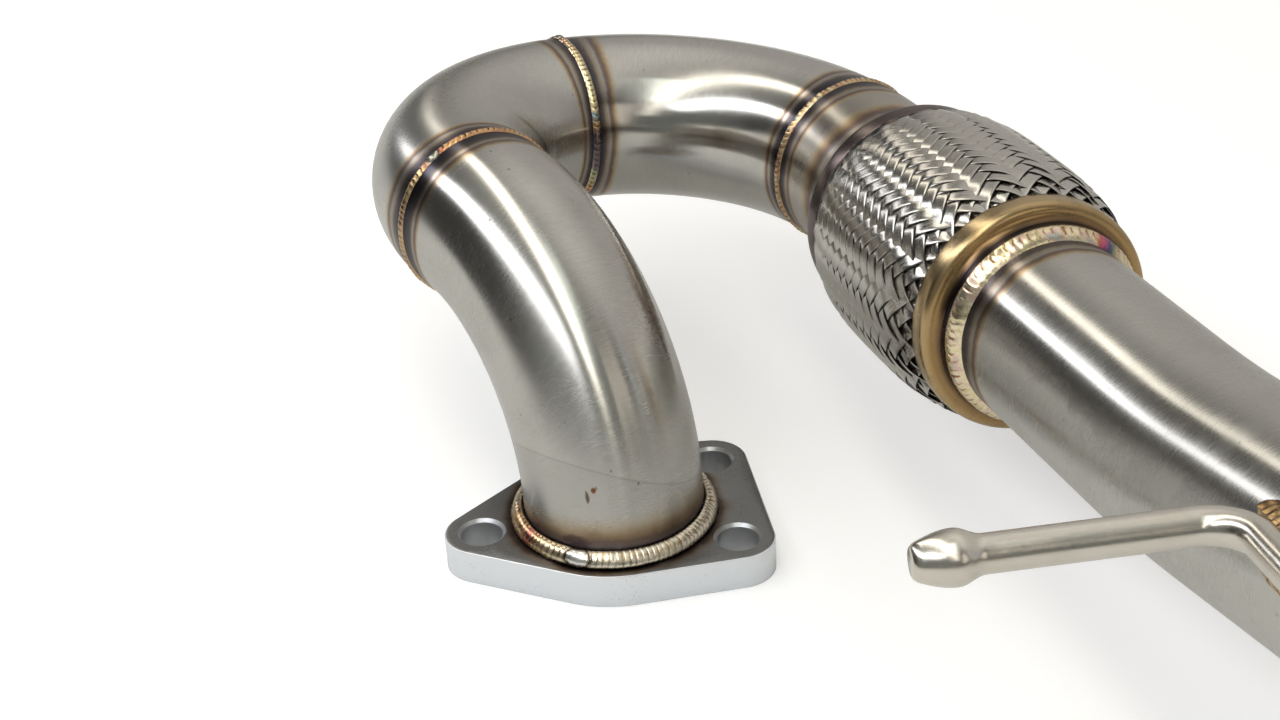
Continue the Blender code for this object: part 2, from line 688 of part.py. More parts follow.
def pipe_run():
    """Lays the tubes and their butt welds end to end and returns the middle of the flex joint and the
    station of the hanger."""
    foot = straight(FOOT_RECESS)
    first = [straight(FLANGE_THICKNESS - FOOT_RECESS + LEG_ABOVE_FLANGE)]
    first += bend_moves(FIRST_RADIUS, FIRST_ANGLE, FIRST_PLANE) + [straight(FIRST_TANGENT)]
    second = [straight(SECOND_LEAD)] + bend_moves(SECOND_RADIUS, SECOND_ANGLE, SECOND_PLANE)
    second.append(straight(SECOND_TANGENT))
    third = bend_moves(THIRD_RADIUS, THIRD_ANGLE, THIRD_PLANE)
    fourth = bend_moves(FOURTH_RADIUS, FOURTH_ANGLE, FOURTH_PLANE) + [straight(FOURTH_TANGENT)]
    station = foot
    for name, moves, weld in (
        ("first_bend", first, "first_butt_weld"),
        ("second_bend", second, "second_butt_weld"),
        ("third_bend", third, "third_butt_weld"),
    ):
        tube(name, station, moves)
        joint = after(station, moves) @ straight(ROOT_GAP / 2)
        butt_weld(weld, joint)
        station = joint @ straight(ROOT_GAP / 2)
    tube("fourth_bend", station, fourth + [straight(NECK_LAP)])
    inlet_neck = after(station, fourth)
    outlet_neck = inlet_neck @ straight(FLEX_LENGTH)
    outlet = [straight(NECK_LAP + OUTLET_LEAD)] + bend_moves(OUTLET_RADIUS, OUTLET_ANGLE, OUTLET_PLANE)
    start = outlet_neck @ straight(-NECK_LAP)
    tube("outlet_pipe", start, outlet + [straight(OUTLET_TANGENT)])
    hanger = after(start, outlet) @ straight(HANGER_STATION)
    return inlet_neck @ straight(FLEX_LENGTH / 2), hanger


def flex_joint(middle):
    axis = bpy.data.objects.new("flex_axis", None)
    bpy.context.scene.collection.objects.link(axis)
    axis.matrix_world = middle
    flex_caps(axis)
    flex_liner(axis)
    flex_bellows(axis)
    flex_braid(axis)
    neck_weld("flex_inlet_weld", Matrix.Rotation(math.pi, 4, "X"), axis, SIDES, ())
    neck_weld("flex_outlet_weld", Matrix.Identity(4), axis, 2 * SIDES, (2, 3))


def main():
    clear_scene()
    inlet_flange()
    flange_welds()
    middle, hanger = pipe_run()
    flex_joint(middle)
    hanger_rod(hanger)
    hanger_weld("hanger_weld_left", -1.0, HANGER_WELD_LEFT_START, HANGER_WELD_LEFT_END, hanger)
    hanger_weld("hanger_weld_right", 1.0, HANGER_WELD_RIGHT_START, HANGER_WELD_RIGHT_END, hanger)


main()
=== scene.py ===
"""Exhaust j-pipe: the finished surface of every piece, laid out as an add-on and run as a script."""

import math

import bmesh
import bpy
from bpy.props import FloatProperty, FloatVectorProperty, IntProperty, PointerProperty
from mathutils import Matrix, Vector, noise


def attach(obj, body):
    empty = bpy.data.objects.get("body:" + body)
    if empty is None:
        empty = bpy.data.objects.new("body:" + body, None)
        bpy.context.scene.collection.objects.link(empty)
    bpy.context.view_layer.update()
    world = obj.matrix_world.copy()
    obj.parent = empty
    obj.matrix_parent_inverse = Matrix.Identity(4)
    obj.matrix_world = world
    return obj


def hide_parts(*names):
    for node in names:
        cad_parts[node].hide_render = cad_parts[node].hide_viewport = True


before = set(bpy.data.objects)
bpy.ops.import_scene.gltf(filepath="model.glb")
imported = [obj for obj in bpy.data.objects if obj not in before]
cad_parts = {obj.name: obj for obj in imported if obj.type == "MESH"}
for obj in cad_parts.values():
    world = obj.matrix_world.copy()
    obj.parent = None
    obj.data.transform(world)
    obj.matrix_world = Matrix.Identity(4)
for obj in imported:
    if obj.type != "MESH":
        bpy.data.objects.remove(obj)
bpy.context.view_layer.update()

bl_info = {
    "name": "Exhaust j-pipe",
    "version": (1, 0, 0),
    "blender": (4, 5, 0),
    "location": "3D View > Sidebar > J-Pipe",
    "description": "Builds the flange, bends, welds, flex joint and hanger of a welded exhaust j-pipe",
    "category": "Object",
}

BODY = "root"
FLANGE_TOP = 0.0127
FULL_TURN = 2 * math.pi
NO_HEAT = 9.0
FLIP = Matrix.Rotation(math.pi, 4, "X")

# Lengths in metres
BITE = 0.0001  # how far a bead sinks into what it joins
ROD_GAP = 0.0003  # between the tube and the rod's foot
BORE_EDGE = 0.0003
LONG_EDGE = 0.004  # edges of the plate's faces that are longer are cut
BURN_REACH = 0.006
CAP_HEAT_REACH = 0.014
BEAD_SWELL = 0.00025
BEAD_SWAY = 0.00020
STRAND_SWAY = 0.00035
WIRE_GROOVE = 0.00002
WEAVE_FADE = 0.016  # from each end of the braid, where the strands lie flatter
BRAID_SHADOW = 0.0065  # of the painted shadow, with painted orange-red glints, at the braid's inlet end under the cap's rim, with its soft edge
BRAID_SHADOW_EDGE = 0.0025
ROD_STEP = 0.004
ROD_END = 0.001  # of the foot's rounded end
HANGER_TOE = 0.0085
HANGER_CROWN = 0.0011
HANGER_PITCH = 0.0030

# Angles in degrees
OUTLINE_STEP = 4
ROD_TURN_STEP = 4.0
HANGER_CLIMB = 82.0  # round the rod, from where it faces the pipe

HOLE_SIDES = 64
BORE_SIDES = 96
CAP_SIDES = 128
ROD_SIDES = 48
RIPPLE_STEPS = 8
TUCK = 1.3  # crossings by which a strand runs on inside the caps
TACK_STRETCH = 1.35
GRAIN_SCALE = 20.0

# The camera, as fitted to the photo
FOCAL_PX = 2484.39
IMAGE_WIDTH = 1280
SENSOR = 36.0


def length(name, description, default, **more):
    """A size in metres."""
    return FloatProperty(
        name=name, description=description, default=default, min=0.0, unit="LENGTH", precision=5, **more
    )


def colour(name, description, default):
    return FloatVectorProperty(
        name=name, description=description, default=default, size=3, subtype="COLOR", min=0.0, max=1.0
    )


def degrees(name, description, default):
    return FloatProperty(name=name, description=description + ", in degrees", default=default)


def hole(name, description, default):
    return FloatVectorProperty(name=name, description=description, size=2, default=default, unit="LENGTH")


def bend_plan(name, default):
    text = "Centre-line radius in metres, then the angle and the direction of the plane in degrees"
    return FloatVectorProperty(name=name, description=text, default=default, size=3, precision=4)


class TubeSizes(bpy.types.PropertyGroup):
    """The tube, its bends and the straight runs between them."""

    radius: length("Tube radius", "Outside radius of the tube", 0.03175)
    wall: length("Tube wall", "Thickness of the tube's wall", 0.00165)
    sides: IntProperty(name="Sides", description="Facets round the tube", default=112, min=12)
    step: FloatProperty(name="Bend step", description="Degrees of bend for each ring", default=3.0, min=0.5)
    run_step: length("Run step", "Spacing of the rings on straight runs", 0.004)
    foot: length("Foot recess", "How far the tube's foot sits above the sealing face", 0.003)
    leg: length("Leg", "Straight run above the flange", 0.006)
    first: bend_plan("First bend", (0.0762, 90.0, 119.0))
    first_tangent: length("First tangent", "Straight run after the first bend", 0.0092)
    second: bend_plan("Second bend", (0.0635, 96.5, 35.5))
    second_lead: length("Second lead", "Straight run before the second bend", 0.0002)
    second_tangent: length("Second tangent", "Straight run after the second bend", 0.0012)
    third: bend_plan("Third bend", (0.0841, 84.0, 34.0))
    fourth: bend_plan("Fourth bend", (0.0882, 13.0, 26.0))
    fourth_tangent: length("Fourth tangent", "Straight run up to the flex joint", 0.0287)
    root_gap: length("Root gap", "Gap between two tube ends under a weld", 0.0016)
    outlet: bend_plan("Outlet bend", (0.280, 10.5, -31.0))
    outlet_lead: length("Outlet lead", "Straight run before the outlet's slight bend", 0.0765)
    outlet_tangent: length("Outlet tangent", "Straight run after the outlet's slight bend", 0.120)


class FlangeSizes(bpy.types.PropertyGroup):
    """The three-bolt plate."""

    hub: length("Hub radius", "Radius of the plate round the tube", 0.0404)
    corner: length("Corner radius", "Radius of the plate round each bolt hole", 0.0131)
    edge: length("Edge", "Rounding of the plate's rim", 0.0004)
    bore: length("Bore radius", "Radius of the bore that takes the tube", 0.03205)
    bolt: length("Bolt hole radius", "Radius of each bolt hole", 0.0074)
    chamfer: length("Chamfer", "Chamfer of each bolt hole", 0.0011)
    left: hole("Left hole", "Centre of the left hole", (-0.0469, -0.0083))
    right: hole("Right hole", "Centre of the right hole", (0.0420, -0.0214))
    back: hole("Back hole", "Centre of the back hole", (0.0361, 0.0279))


class WeldSizes(bpy.types.PropertyGroup):
    """The weld beads."""

    width: length("Butt width", "Width of a butt weld's crown", 0.0034)
    crown: length("Butt crown", "Height of a butt weld above the tube", 0.0008)
    ripple: length("Ripple", "Height of each ripple", 0.00022)
    pitch: length("Ripple pitch", "Spacing of the ripples along a butt weld", 0.0023)
    fillet_pitch: length("Fillet pitch", "Spacing of the ripples along the flange fillet", 0.0021)
    neck_pitch: length("Neck pitch", "Spacing of the ripples along a neck weld", 0.0029)
    fillet_leg: length("Flange fillet leg", "Width of the flange fillet on the plate", 0.0045)
    fillet_rise: length("Flange fillet rise", "Height of the flange fillet on the tube", 0.0050)
    neck: length("Neck weld length", "Length of the fillet past a cap's neck", 0.0048)


class FlexSizes(bpy.types.PropertyGroup):
    """The braided flex joint."""

    span: length("Span", "Length between the ends of the two necks", 0.113)
    lap: length("Lap", "How far a tube reaches into a neck", 0.008)
    neck_run: length("Neck", "Straight part of a neck", 0.0022)
    neck: length("Neck radius", "Outside radius of a neck", 0.03515)
    neck_bore: length("Neck bore", "Inside radius of a neck", 0.03355)
    cap_wall: length("Cap wall", "Thickness of a cap", 0.0015)
    rim: length("Rim radius", "Outside radius of a cap's rim", 0.041)
    rim_width: length("Rim width", "Length of a cap's rim", 0.006)
    mouth: length("Mouth", "Length by which the rim covers the braid's swell", 0.0005)
    bulge: length("Bulge", "How far the braid swells past its ends", 0.0074)
    weave: length("Weave", "Height between the strands that cross", 0.0009)
    strands: IntProperty(name="Strands", description="Strands each way", default=36, min=4)
    rows: IntProperty(name="Rows", description="Crossings along the braid", default=28, min=4)
    strand_width: length("Strand width", "Width of a strand", 0.0050)
    strand_depth: length("Strand depth", "Thickness of a strand", 0.0005)
    wires: IntProperty(name="Wires", description="Wires side by side in a strand", default=9, min=2)


class RodSizes(bpy.types.PropertyGroup):
    """The hanger rod."""

    radius: length("Rod radius", "Radius of the bar", 0.0053)
    leg: length("Leg", "From the tip to the corner", 0.0861)
    bend: length("Bend radius", "Centre-line radius of the bend", 0.014)
    foot: length("Foot", "From the corner to the end of the foot", 0.040)
    slant: degrees("Slant", "Turn of the foot from the pipe's direction", 7.7)
    rise: degrees("Rise", "Rise of the leg from the pipe", 59.4)
    swing: degrees("Swing", "Swing of the leg round the pipe", 106.2)
    bulb: length("Bulb radius", "Radius of the swaged bulb", 0.0076)
    bulb_length: length("Bulb length", "Length of the swaged bulb", 0.019)
    bulb_widest: length("Bulb widest", "Where the bulb is widest, from the tip", 0.0115)
    bulb_tip: length("Bulb tip radius", "Radius of the flat tip", 0.0047)
    station: length("Station", "Distance of the rod past the outlet's slight bend", 0.0649)
    around: degrees("Around", "Place of the rod round the pipe", 8.8)


class Finishes(bpy.types.PropertyGroup):
    """The colours of the metals."""

    steel: colour("Tube steel", "Brushed stainless tube", (0.56, 0.545, 0.515))
    elbow: colour("Elbow steel", "Duller steel of the tight elbow", (0.54, 0.53, 0.505))
    hazed: colour("Hazed steel", "Steel browned by the heat of two welds", (0.45, 0.415, 0.37))
    plate: colour("Plate", "Zinc-grey flange", (0.27, 0.27, 0.272))
    cap_gold: colour("Gold cap", "Bronze gold of the outlet cap", (0.50, 0.375, 0.21))
    cap_dark: colour("Dark cap", "Heat-darkened inlet cap", (0.135, 0.105, 0.10))
    wire: colour("Braid wire", "Drawn steel wire", (0.66, 0.635, 0.59))
    rod: colour("Rod", "Polished bar", (0.70, 0.665, 0.60))
    floor: colour("Floor", "Plain pale floor", (0.74, 0.74, 0.73))
    floor_lift: colour("Floor lift", "Light that the camera sees on the floor", (0.37, 0.37, 0.38))


def sizes(name):
    return getattr(bpy.context.scene, "jpipe_" + name)


# Moves along the pipe. A station's frame never rolls: its Z is the heading of the pipe.


def straight_run(distance):
    return Matrix.Translation((0.0, 0.0, distance))


def arc(radius, angle, plane):
    """The move along an arc that turns the heading by angle towards the direction plane, in degrees."""
    aim = Matrix.Rotation(math.radians(plane), 4, "Z")
    centre = Matrix.Translation((radius, 0.0, 0.0))
    turn = Matrix.Rotation(math.radians(angle), 4, "Y")
    return aim @ centre @ turn @ centre.inverted() @ aim.inverted()


def run_moves(distance, step):
    """Equal moves along a straight run, each with its length and its widening."""
    count = max(1, math.ceil(distance / step))
    return [(straight_run(distance / count), distance / count, 1.0)] * count


def bend_moves(plan, step):
    radius, angle, plane = plan
    count = max(1, math.ceil(angle / step))
    part = angle / count
    return [(arc(radius, part, plane), radius * math.radians(part), 1.0)] * count


def after(start, moves):
    for move, *_ in moves:
        start = start @ move
    return start


def pipe_plan():
    """The start and the moves of every tube, and the stations of the welds, the flex joint and the hanger."""
    tube = sizes("tube")
    flex = sizes("flex")
    gap = straight_run(tube.root_gap / 2)
    first = run_moves(FLANGE_TOP - tube.foot + tube.leg, tube.run_step)
    first += bend_moves(tube.first, tube.step) + run_moves(tube.first_tangent, tube.run_step)
    second = run_moves(tube.second_lead, tube.run_step) + bend_moves(tube.second, tube.step)
    second += run_moves(tube.second_tangent, tube.run_step)
    third = bend_moves(tube.third, tube.step)
    fourth = bend_moves(tube.fourth, tube.step) + run_moves(tube.fourth_tangent, tube.run_step)
    outlet = run_moves(flex.lap + tube.outlet_lead, tube.run_step) + bend_moves(tube.outlet, tube.step / 2)
    plan = {}
    station = straight_run(tube.foot)
    bends = {"first_bend": first, "second_bend": second, "third_bend": third}
    for number, (name, moves) in enumerate(bends.items(), 1):
        plan[name] = (station, moves)
        joint = after(station, moves) @ gap
        plan[f"weld_{number}"] = joint
        station = joint @ gap
    plan["fourth_bend"] = (station, fourth + run_moves(flex.lap, tube.run_step))
    neck = after(station, fourth)
    plan["flex"] = neck @ straight_run(flex.span / 2)
    start = neck @ straight_run(flex.span - flex.lap)
    plan["outlet_pipe"] = (start, outlet + run_moves(tube.outlet_tangent, tube.run_step))
    plan["hanger"] = after(start, outlet) @ straight_run(sizes("rod").station)
    return plan


# Meshes


def unit(value):
    """The value, held between 0 and 1."""
    return min(1.0, max(0.0, value))


def wrapped(angle):
    """The angle between -pi and pi."""
    return (angle + math.pi) % FULL_TURN - math.pi


def quarter(steps, first=0):
    """The sines and cosines of the steps through a quarter turn."""
    turns = [math.radians(90.0 * k / steps) for k in range(first, steps + 1)]
    return [(math.sin(turn), math.cos(turn)) for turn in turns]


def axes_frame(x_axis, y_axis, z_axis, origin):
    made = Matrix((x_axis, y_axis, z_axis)).transposed().to_4x4()
    made.translation = origin
    return made


def piece(bm, name, material, nodes=(), sharp=40.0, station=Matrix.Identity(4)):
    """Makes the object from a finished bmesh, moved to its station; it rides on the body and stands for
    the nodes."""
    bmesh.ops.transform(bm, matrix=station, verts=bm.verts)
    bmesh.ops.recalc_face_normals(bm, faces=bm.faces)
    mesh = bpy.data.meshes.new(name)
    bm.to_mesh(mesh)
    bm.free()
    mesh.shade_smooth()
    mesh.set_sharp_from_angle(angle=math.radians(sharp))
    mesh.materials.append(material)
    obj = bpy.data.objects.new(name, mesh)
    bpy.context.scene.collection.objects.link(obj)
    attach(obj, BODY)
    if nodes:
        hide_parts(*nodes)


def ring_of_edges(verts):
    own = set(verts)
    return list(dict.fromkeys(edge for vert in verts for edge in vert.link_edges if set(edge.verts) <= own))


def closed_loop(bm, verts):
    """The edges that join the points in a ring."""
    return [bm.edges.new((verts[k - 1], verts[k])) for k in range(len(verts))]


def spun(bm, geom, steps, angle=FULL_TURN, **more):
    """Spins the geometry round the Z axis."""
    centre, axis = (0.0, 0.0, 0.0), (0.0, 0.0, 1.0)
    bmesh.ops.spin(bm, geom=geom, cent=centre, axis=axis, angle=angle, steps=steps, **more)


def keep_places(bm):
    """Keeps each point's place before it is bent or moved, so that the finish follows the surface."""
    layer = bm.verts.layers.float_vector.new("straight")
    for vert in bm.verts:
        vert[layer] = vert.co
    return layer


def grain_map(bm, places):
    """A UV map for the tangent of brushed metal: along the pipe, and round it without a jump in any face."""
    layer = bm.loops.layers.uv.new("grain")
    for face in bm.faces:
        first = None
        for loop in face.loops:
            x, y, along = loop.vert[places]
            angle = math.atan2(y, x)
            if first is None:
                first = angle
            loop[layer].uv = (along * GRAIN_SCALE, first + wrapped(angle - first))


def tint_share(distance, slate, reach):
    """How far through the heat colours a place is: 0.2 where the slate band ends, 1 where the tint does."""
    if not reach:
        return NO_HEAT
    if distance < slate:
        return 0.2 * distance / slate
    return 0.2 + 0.8 * (distance - slate) / (reach - slate)


def sweep(bm, moves):
    """Extrudes the faces along the moves. Gives the layer of each point's place on the straightened piece,
    and the whole distance."""
    layer = keep_places(bm)
    end = bm.faces[:]
    place = Matrix.Identity(4)
    distance = 0.0
    for number, (move, step, widening) in enumerate(moves):
        faces = end
        made = bmesh.ops.extrude_face_region(bm, geom=faces)["geom"]
        verts = [item for item in made if isinstance(item, bmesh.types.BMVert)]
        end = [item for item in made if isinstance(item, bmesh.types.BMFace)]
        widened = Matrix.Diagonal((widening, widening, 1.0, 1.0))
        bmesh.ops.transform(bm, matrix=place @ move @ widened @ place.inverted(), verts=verts)
        if number:
            bmesh.ops.delete(bm, geom=faces, context="FACES")
        place = place @ move
        distance += step
        for vert in verts:
            x, y, _ = vert[layer]
            vert[layer] = (x * widening, y * widening, distance)
    return layer, distance


def swept_tube(name, plan, tints, material):
    """A round tube along the plan. tints gives the widths of the slate band and of the whole tint at its
    start and its end."""
    start, moves = plan
    tube = sizes("tube")
    bm = bmesh.new()
    for radius in (tube.radius, tube.radius - tube.wall):
        bmesh.ops.create_circle(bm, segments=tube.sides, radius=radius)
    bmesh.ops.bridge_loops(bm, edges=bm.edges[:])
    places, distance = sweep(bm, moves)
    heat = bm.verts.layers.float.new("heat_reach")
    for vert in bm.verts:
        along = vert[places][2]
        vert[heat] = min(tint_share(along, *tints[0]), tint_share(distance - along, *tints[1]), NO_HEAT)
    grain_map(bm, places)
    piece(bm, name + "_tube", material, [name], station=start)


def outward_normals(profile):
    """The 2D normal at each point of a closed profile, pointing out of it."""
    area = sum(x1 * y2 - x2 * y1 for (x1, y1), (x2, y2) in zip(profile, profile[1:] + profile[:1]))
    side = 1.0 if area > 0 else -1.0
    normals = []
    for k in range(len(profile)):
        (x1, y1), (x2, y2) = profile[k - 1], profile[(k + 1) % len(profile)]
        normals.append((Vector((y2 - y1, x1 - x2)) * side).normalized())
    return normals


def bead(name, crown, back, station, material, slot, nodes, pitch, seed, lift=1.0, bow=0.55, tacks=()):
    """Spins a closed profile of crown and back, and presses stacked ripples into the crown. A tack is its
    angle in degrees, its place across from -1 to 1, its radius and its height."""
    bm = bmesh.new()
    point = bm.verts.layers.int.new("point")
    crest, blob, edge = [bm.verts.layers.float.new(label) for label in ("crest", "tack", "edge")]
    verts = [bm.verts.new((radius, 0.0, z)) for radius, z in crown + back]
    for k, vert in enumerate(verts):
        vert[point] = k
    middle = sum(radius for radius, _ in crown) / len(crown)
    half = sum(math.dist(one, two) for one, two in zip(crown, crown[1:])) / 2
    count = round(FULL_TURN * middle / pitch)
    spun(bm, verts + closed_loop(bm, verts), count * RIPPLE_STEPS, use_merge=True)
    normals = outward_normals(crown + back)
    depth = sizes("weld").ripple * lift
    for vert in bm.verts:
        k = vert[point]
        if k >= len(crown):
            continue
        angle = math.atan2(vert.co.y, vert.co.x)
        across = 2 * k / (len(crown) - 1) - 1
        vert[edge] = abs(across)
        around = Vector((math.cos(angle), math.sin(angle), seed))
        drift = noise.noise(around * 4.0) * 0.5
        phase = (angle / FULL_TURN * count + bow * across * across + drift) % 1.0
        rise = (1.0 - across * across) ** 0.7
        height = (1.0 - phase) ** 1.4 + 0.25 * noise.noise(around * 30.0)
        shift = depth * rise * height + BEAD_SWELL * rise * noise.noise(around * 7.0)
        vert[crest] = 0.5 + (height - 0.5) * rise
        for tack_angle, tack_across, tack_radius, tack_height in tacks:
            run = wrapped(math.radians(tack_angle) - angle) * middle
            side = (across - tack_across) * half
            ragged = 0.22 * noise.noise(around * 26.0 + Vector((across, 0.0, 0.0)))
            far = math.hypot(run / TACK_STRETCH, side) / tack_radius + ragged
            if far < 1.0:
                swell = (1.0 - far * far) ** 0.75
                shift = shift * (1.0 - swell) + tack_height * swell
            vert[blob] = max(vert[blob], unit(1.35 - far))
        nr, nz = normals[k]
        vert.co += Vector((nr * math.cos(angle), nr * math.sin(angle), nz)) * shift
        vert.co.z += BEAD_SWAY * noise.noise(around * 5.0 + Vector((9.0, 3.0, 1.0)))
    bm.verts.layers.int.remove(point)
    keep_places(bm)
    piece(bm, name, material, nodes, sharp=80.0, station=station)


# Node trees


def opaque(shade):
    return (*shade, 1.0) if len(shade) == 3 else shade


def toned(shade, share):
    """The colour, lighter or darker."""
    return tuple(min(1.0, part * share) for part in shade)


class Graph:
    """Adds nodes to a tree; a value given to an input is a socket to link or a plain default."""

    def __init__(self, tree):
        self.tree = tree
        self.shader = tree.nodes.get("Principled BSDF")

    def feed(self, socket, value):
        if isinstance(value, bpy.types.NodeSocket):
            self.tree.links.new(value, socket)
        else:
            socket.default_value = opaque(value) if socket.type == "RGBA" else value

    def add(self, kind, inputs=(), **settings):
        node = self.tree.nodes.new(kind)
        for key, value in settings.items():
            setattr(node, key, value)
        for key, value in dict(inputs).items():
            self.feed(node.inputs[key], value)
        return node

    def math(self, operation, *values, clamp=False):
        return self.add("ShaderNodeMath", enumerate(values), operation=operation, use_clamp=clamp).outputs[0]

    def times(self, first, second):
        return self.math("MULTIPLY", first, second)

    def centred(self, value):
        return self.math("SUBTRACT", value, 0.5)

    def vector(self, operation, *values):
        outputs = self.add("ShaderNodeVectorMath", enumerate(values), operation=operation).outputs
        return outputs[1 if operation in ("LENGTH", "DOT_PRODUCT") else 0]

    def mix(self, factor, first, second, blend="MIX"):
        node = self.add("ShaderNodeMix", data_type="RGBA", blend_type=blend, clamp_factor=True)
        for number, value in ((0, factor), (6, first), (7, second)):
            self.feed(node.inputs[number], value)
        return node.outputs[2]

    def over(self, body, mask, amount, shade):
        """The body with an amount of the shade over it where the mask is 1."""
        return self.mix(self.times(mask, amount), body, shade)

    def noise(self, vector, scale, detail=3.0, rough=0.5, distortion=0.0):
        labels = ("Vector", "Scale", "Detail", "Roughness", "Distortion")
        given = dict(zip(labels, (vector, scale, detail, rough, distortion)))
        return self.add("ShaderNodeTexNoise", given).outputs["Fac"]

    def cells(self, vector, scale):
        given = {"Vector": vector, "Scale": scale, "Randomness": 1.0}
        return self.add("ShaderNodeTexVoronoi", given).outputs["Distance"]

    def ramp(self, factor, stops):
        node = self.add("ShaderNodeValToRGB", {0: factor})
        elements = node.color_ramp.elements
        elements.remove(elements[1])
        elements[0].position = stops[0][0]
        for position, _ in stops[1:]:
            elements.new(position)
        for element, (_, shade) in zip(elements, stops):
            element.color = opaque(shade)
        return node.outputs

    def levels(self, value, low, high, floor=0.0, ceiling=1.0, **settings):
        given = {"Value": value, "From Min": low, "From Max": high, "To Min": floor, "To Max": ceiling}
        return self.add("ShaderNodeMapRange", given, **settings).outputs[0]

    def mapped(self, vector, **settings):
        return self.add("ShaderNodeMapping", {"Vector": vector, **settings}).outputs[0]

    def parts(self, vector):
        return self.add("ShaderNodeSeparateXYZ", {0: vector}).outputs

    def place(self):
        return self.add("ShaderNodeAttribute", attribute_name="straight").outputs["Vector"]

    def object_place(self):
        return self.add("ShaderNodeTexCoord").outputs["Object"]

    def value(self, name):
        return self.add("ShaderNodeAttribute", attribute_name=name).outputs["Fac"]

    def surface(self, colour, gloss, relief, depth, strength=0.5):
        """Feeds the shader's colour, roughness and bumps, whose depth is in metres."""
        bump = self.add("ShaderNodeBump", {"Height": relief, "Distance": depth, "Strength": strength})
        for label, value in (("Base Color", colour), ("Roughness", gloss), ("Normal", bump.outputs[0])):
            self.feed(self.shader.inputs[label], value)


def shader_group(name, inputs, outputs, build):
    """A node group with named sockets, built once. build gets the graph and the inputs, and returns the
    outputs."""
    tree = bpy.data.node_groups.get(name)
    if tree:
        return tree
    tree = bpy.data.node_groups.new(name, "ShaderNodeTree")
    kinds = {"float": "NodeSocketFloat", "vector": "NodeSocketVector", "colour": "NodeSocketColor"}
    for label, kind, default in inputs:
        socket = tree.interface.new_socket(name=label, in_out="INPUT", socket_type=kinds[kind])
        if default is not None:
            socket.default_value = default
    for label, kind in outputs:
        tree.interface.new_socket(name=label, in_out="OUTPUT", socket_type=kinds[kind])
    graph = Graph(tree)
    entry = tree.nodes.new("NodeGroupInput")
    leave = tree.nodes.new("NodeGroupOutput")
    for label, value in build(graph, entry.outputs).items():
        graph.feed(leave.inputs[label], value)
    return tree


def use_group(graph, tree, **inputs):
    return graph.add("ShaderNodeGroup", inputs, node_tree=tree).outputs


HEAT_COLOURS = [
    (0.00, (0.035, 0.033, 0.042, 1.0)),
    (0.18, (0.075, 0.068, 0.078, 1.0)),
    (0.28, (0.140, 0.110, 0.095, 1.0)),
    (0.38, (0.270, 0.225, 0.180, 0.90)),
    (0.50, (0.310, 0.270, 0.225, 0.80)),
    (0.58, (0.165, 0.130, 0.130, 0.92)),
    (0.65, (0.150, 0.095, 0.070, 0.92)),
    (0.73, (0.270, 0.165, 0.070, 0.82)),
    (0.82, (0.420, 0.300, 0.150, 0.58)),
    (0.91, (0.500, 0.410, 0.270, 0.28)),
    (1.00, (0.550, 0.480, 0.360, 0.0)),
]


def heat_tint_group():
    """Heat colours beside a weld. Heat is 0 at the bead and 1 where the tint ends."""

    def build(graph, given):
        uneven = graph.centred(graph.noise(given["Place"], 55.0, 3.0, 0.55))
        fine = graph.centred(graph.noise(given["Place"], 420.0, 2.0, 0.5))
        heat = graph.math("MULTIPLY_ADD", uneven, given["Unevenness"], given["Heat"])
        ramp = graph.ramp(graph.math("MULTIPLY_ADD", fine, 0.06, heat, clamp=True), HEAT_COLOURS)
        amount = graph.times(ramp["Alpha"], given["Strength"])
        return {"Colour": graph.mix(amount, given["Metal"], ramp["Color"]), "Amount": amount}

    inputs = [
        ("Heat", "float", 1.0),
        ("Place", "vector", None),
        ("Metal", "colour", (0.6, 0.6, 0.6, 1.0)),
        ("Strength", "float", 1.0),
        ("Unevenness", "float", 0.35),
    ]
    return shader_group("heat tint", inputs, [("Colour", "colour"), ("Amount", "float")], build)


def brushed_group():
    """Short polishing lines in two crossing lays. Stretch is the scale along each axis of the place."""

    def build(graph, given):
        lays = []
        for turn, spread in ((0.0, 1.0), (0.35, 0.8)):
            turned = graph.mapped(given["Place"], Rotation=(turn, turn * 0.6, 0.0))
            lines = graph.vector("MULTIPLY", turned, given["Stretch"])
            lays.append(graph.times(graph.noise(lines, spread, 3.0, 0.65), 0.5))
        return {"Grain": graph.math("ADD", *lays)}

    inputs = [("Place", "vector", None), ("Stretch", "vector", (200.0, 200.0, 3000.0))]
    return shader_group("polishing lines", inputs, [("Grain", "float")], build)


def handling_group():
    """Smudges, fine scratches and specks that handling leaves on bare steel."""

    def build(graph, given):
        place = given["Place"]
        smudge = graph.levels(graph.noise(place, 34.0, 4.0, 0.6, 0.6), 0.46, 0.72)
        scratches = []
        for turn, seed in ((0.5, 0.0), (-0.7, 3.0), (1.3, 7.0)):
            moved = graph.mapped(place, Location=(seed, seed, seed), Rotation=(turn, 0.8 * turn, 0.3))
            long = graph.mapped(moved, Scale=(1500.0, 1500.0, 45.0))
            hair = graph.levels(graph.noise(long, 1.0, 0.0, 0.4), 0.80, 0.86)
            patch = graph.levels(graph.noise(moved, 70.0, 1.0, 0.5), 0.55, 0.62)
            scratches.append(graph.times(hair, patch))
        scratch = graph.math("MAXIMUM", graph.math("MAXIMUM", scratches[0], scratches[1]), scratches[2])
        speck = graph.levels(graph.cells(place, 240.0), 0.16, 0.05)
        chosen = graph.math("GREATER_THAN", graph.noise(place, 160.0, 1.0), 0.64)
        return {"Smudge": smudge, "Scratch": scratch, "Speck": graph.times(speck, chosen)}

    outputs = [("Smudge", "float"), ("Scratch", "float"), ("Speck", "float")]
    return shader_group("handling marks", [("Place", "vector", None)], outputs, build)


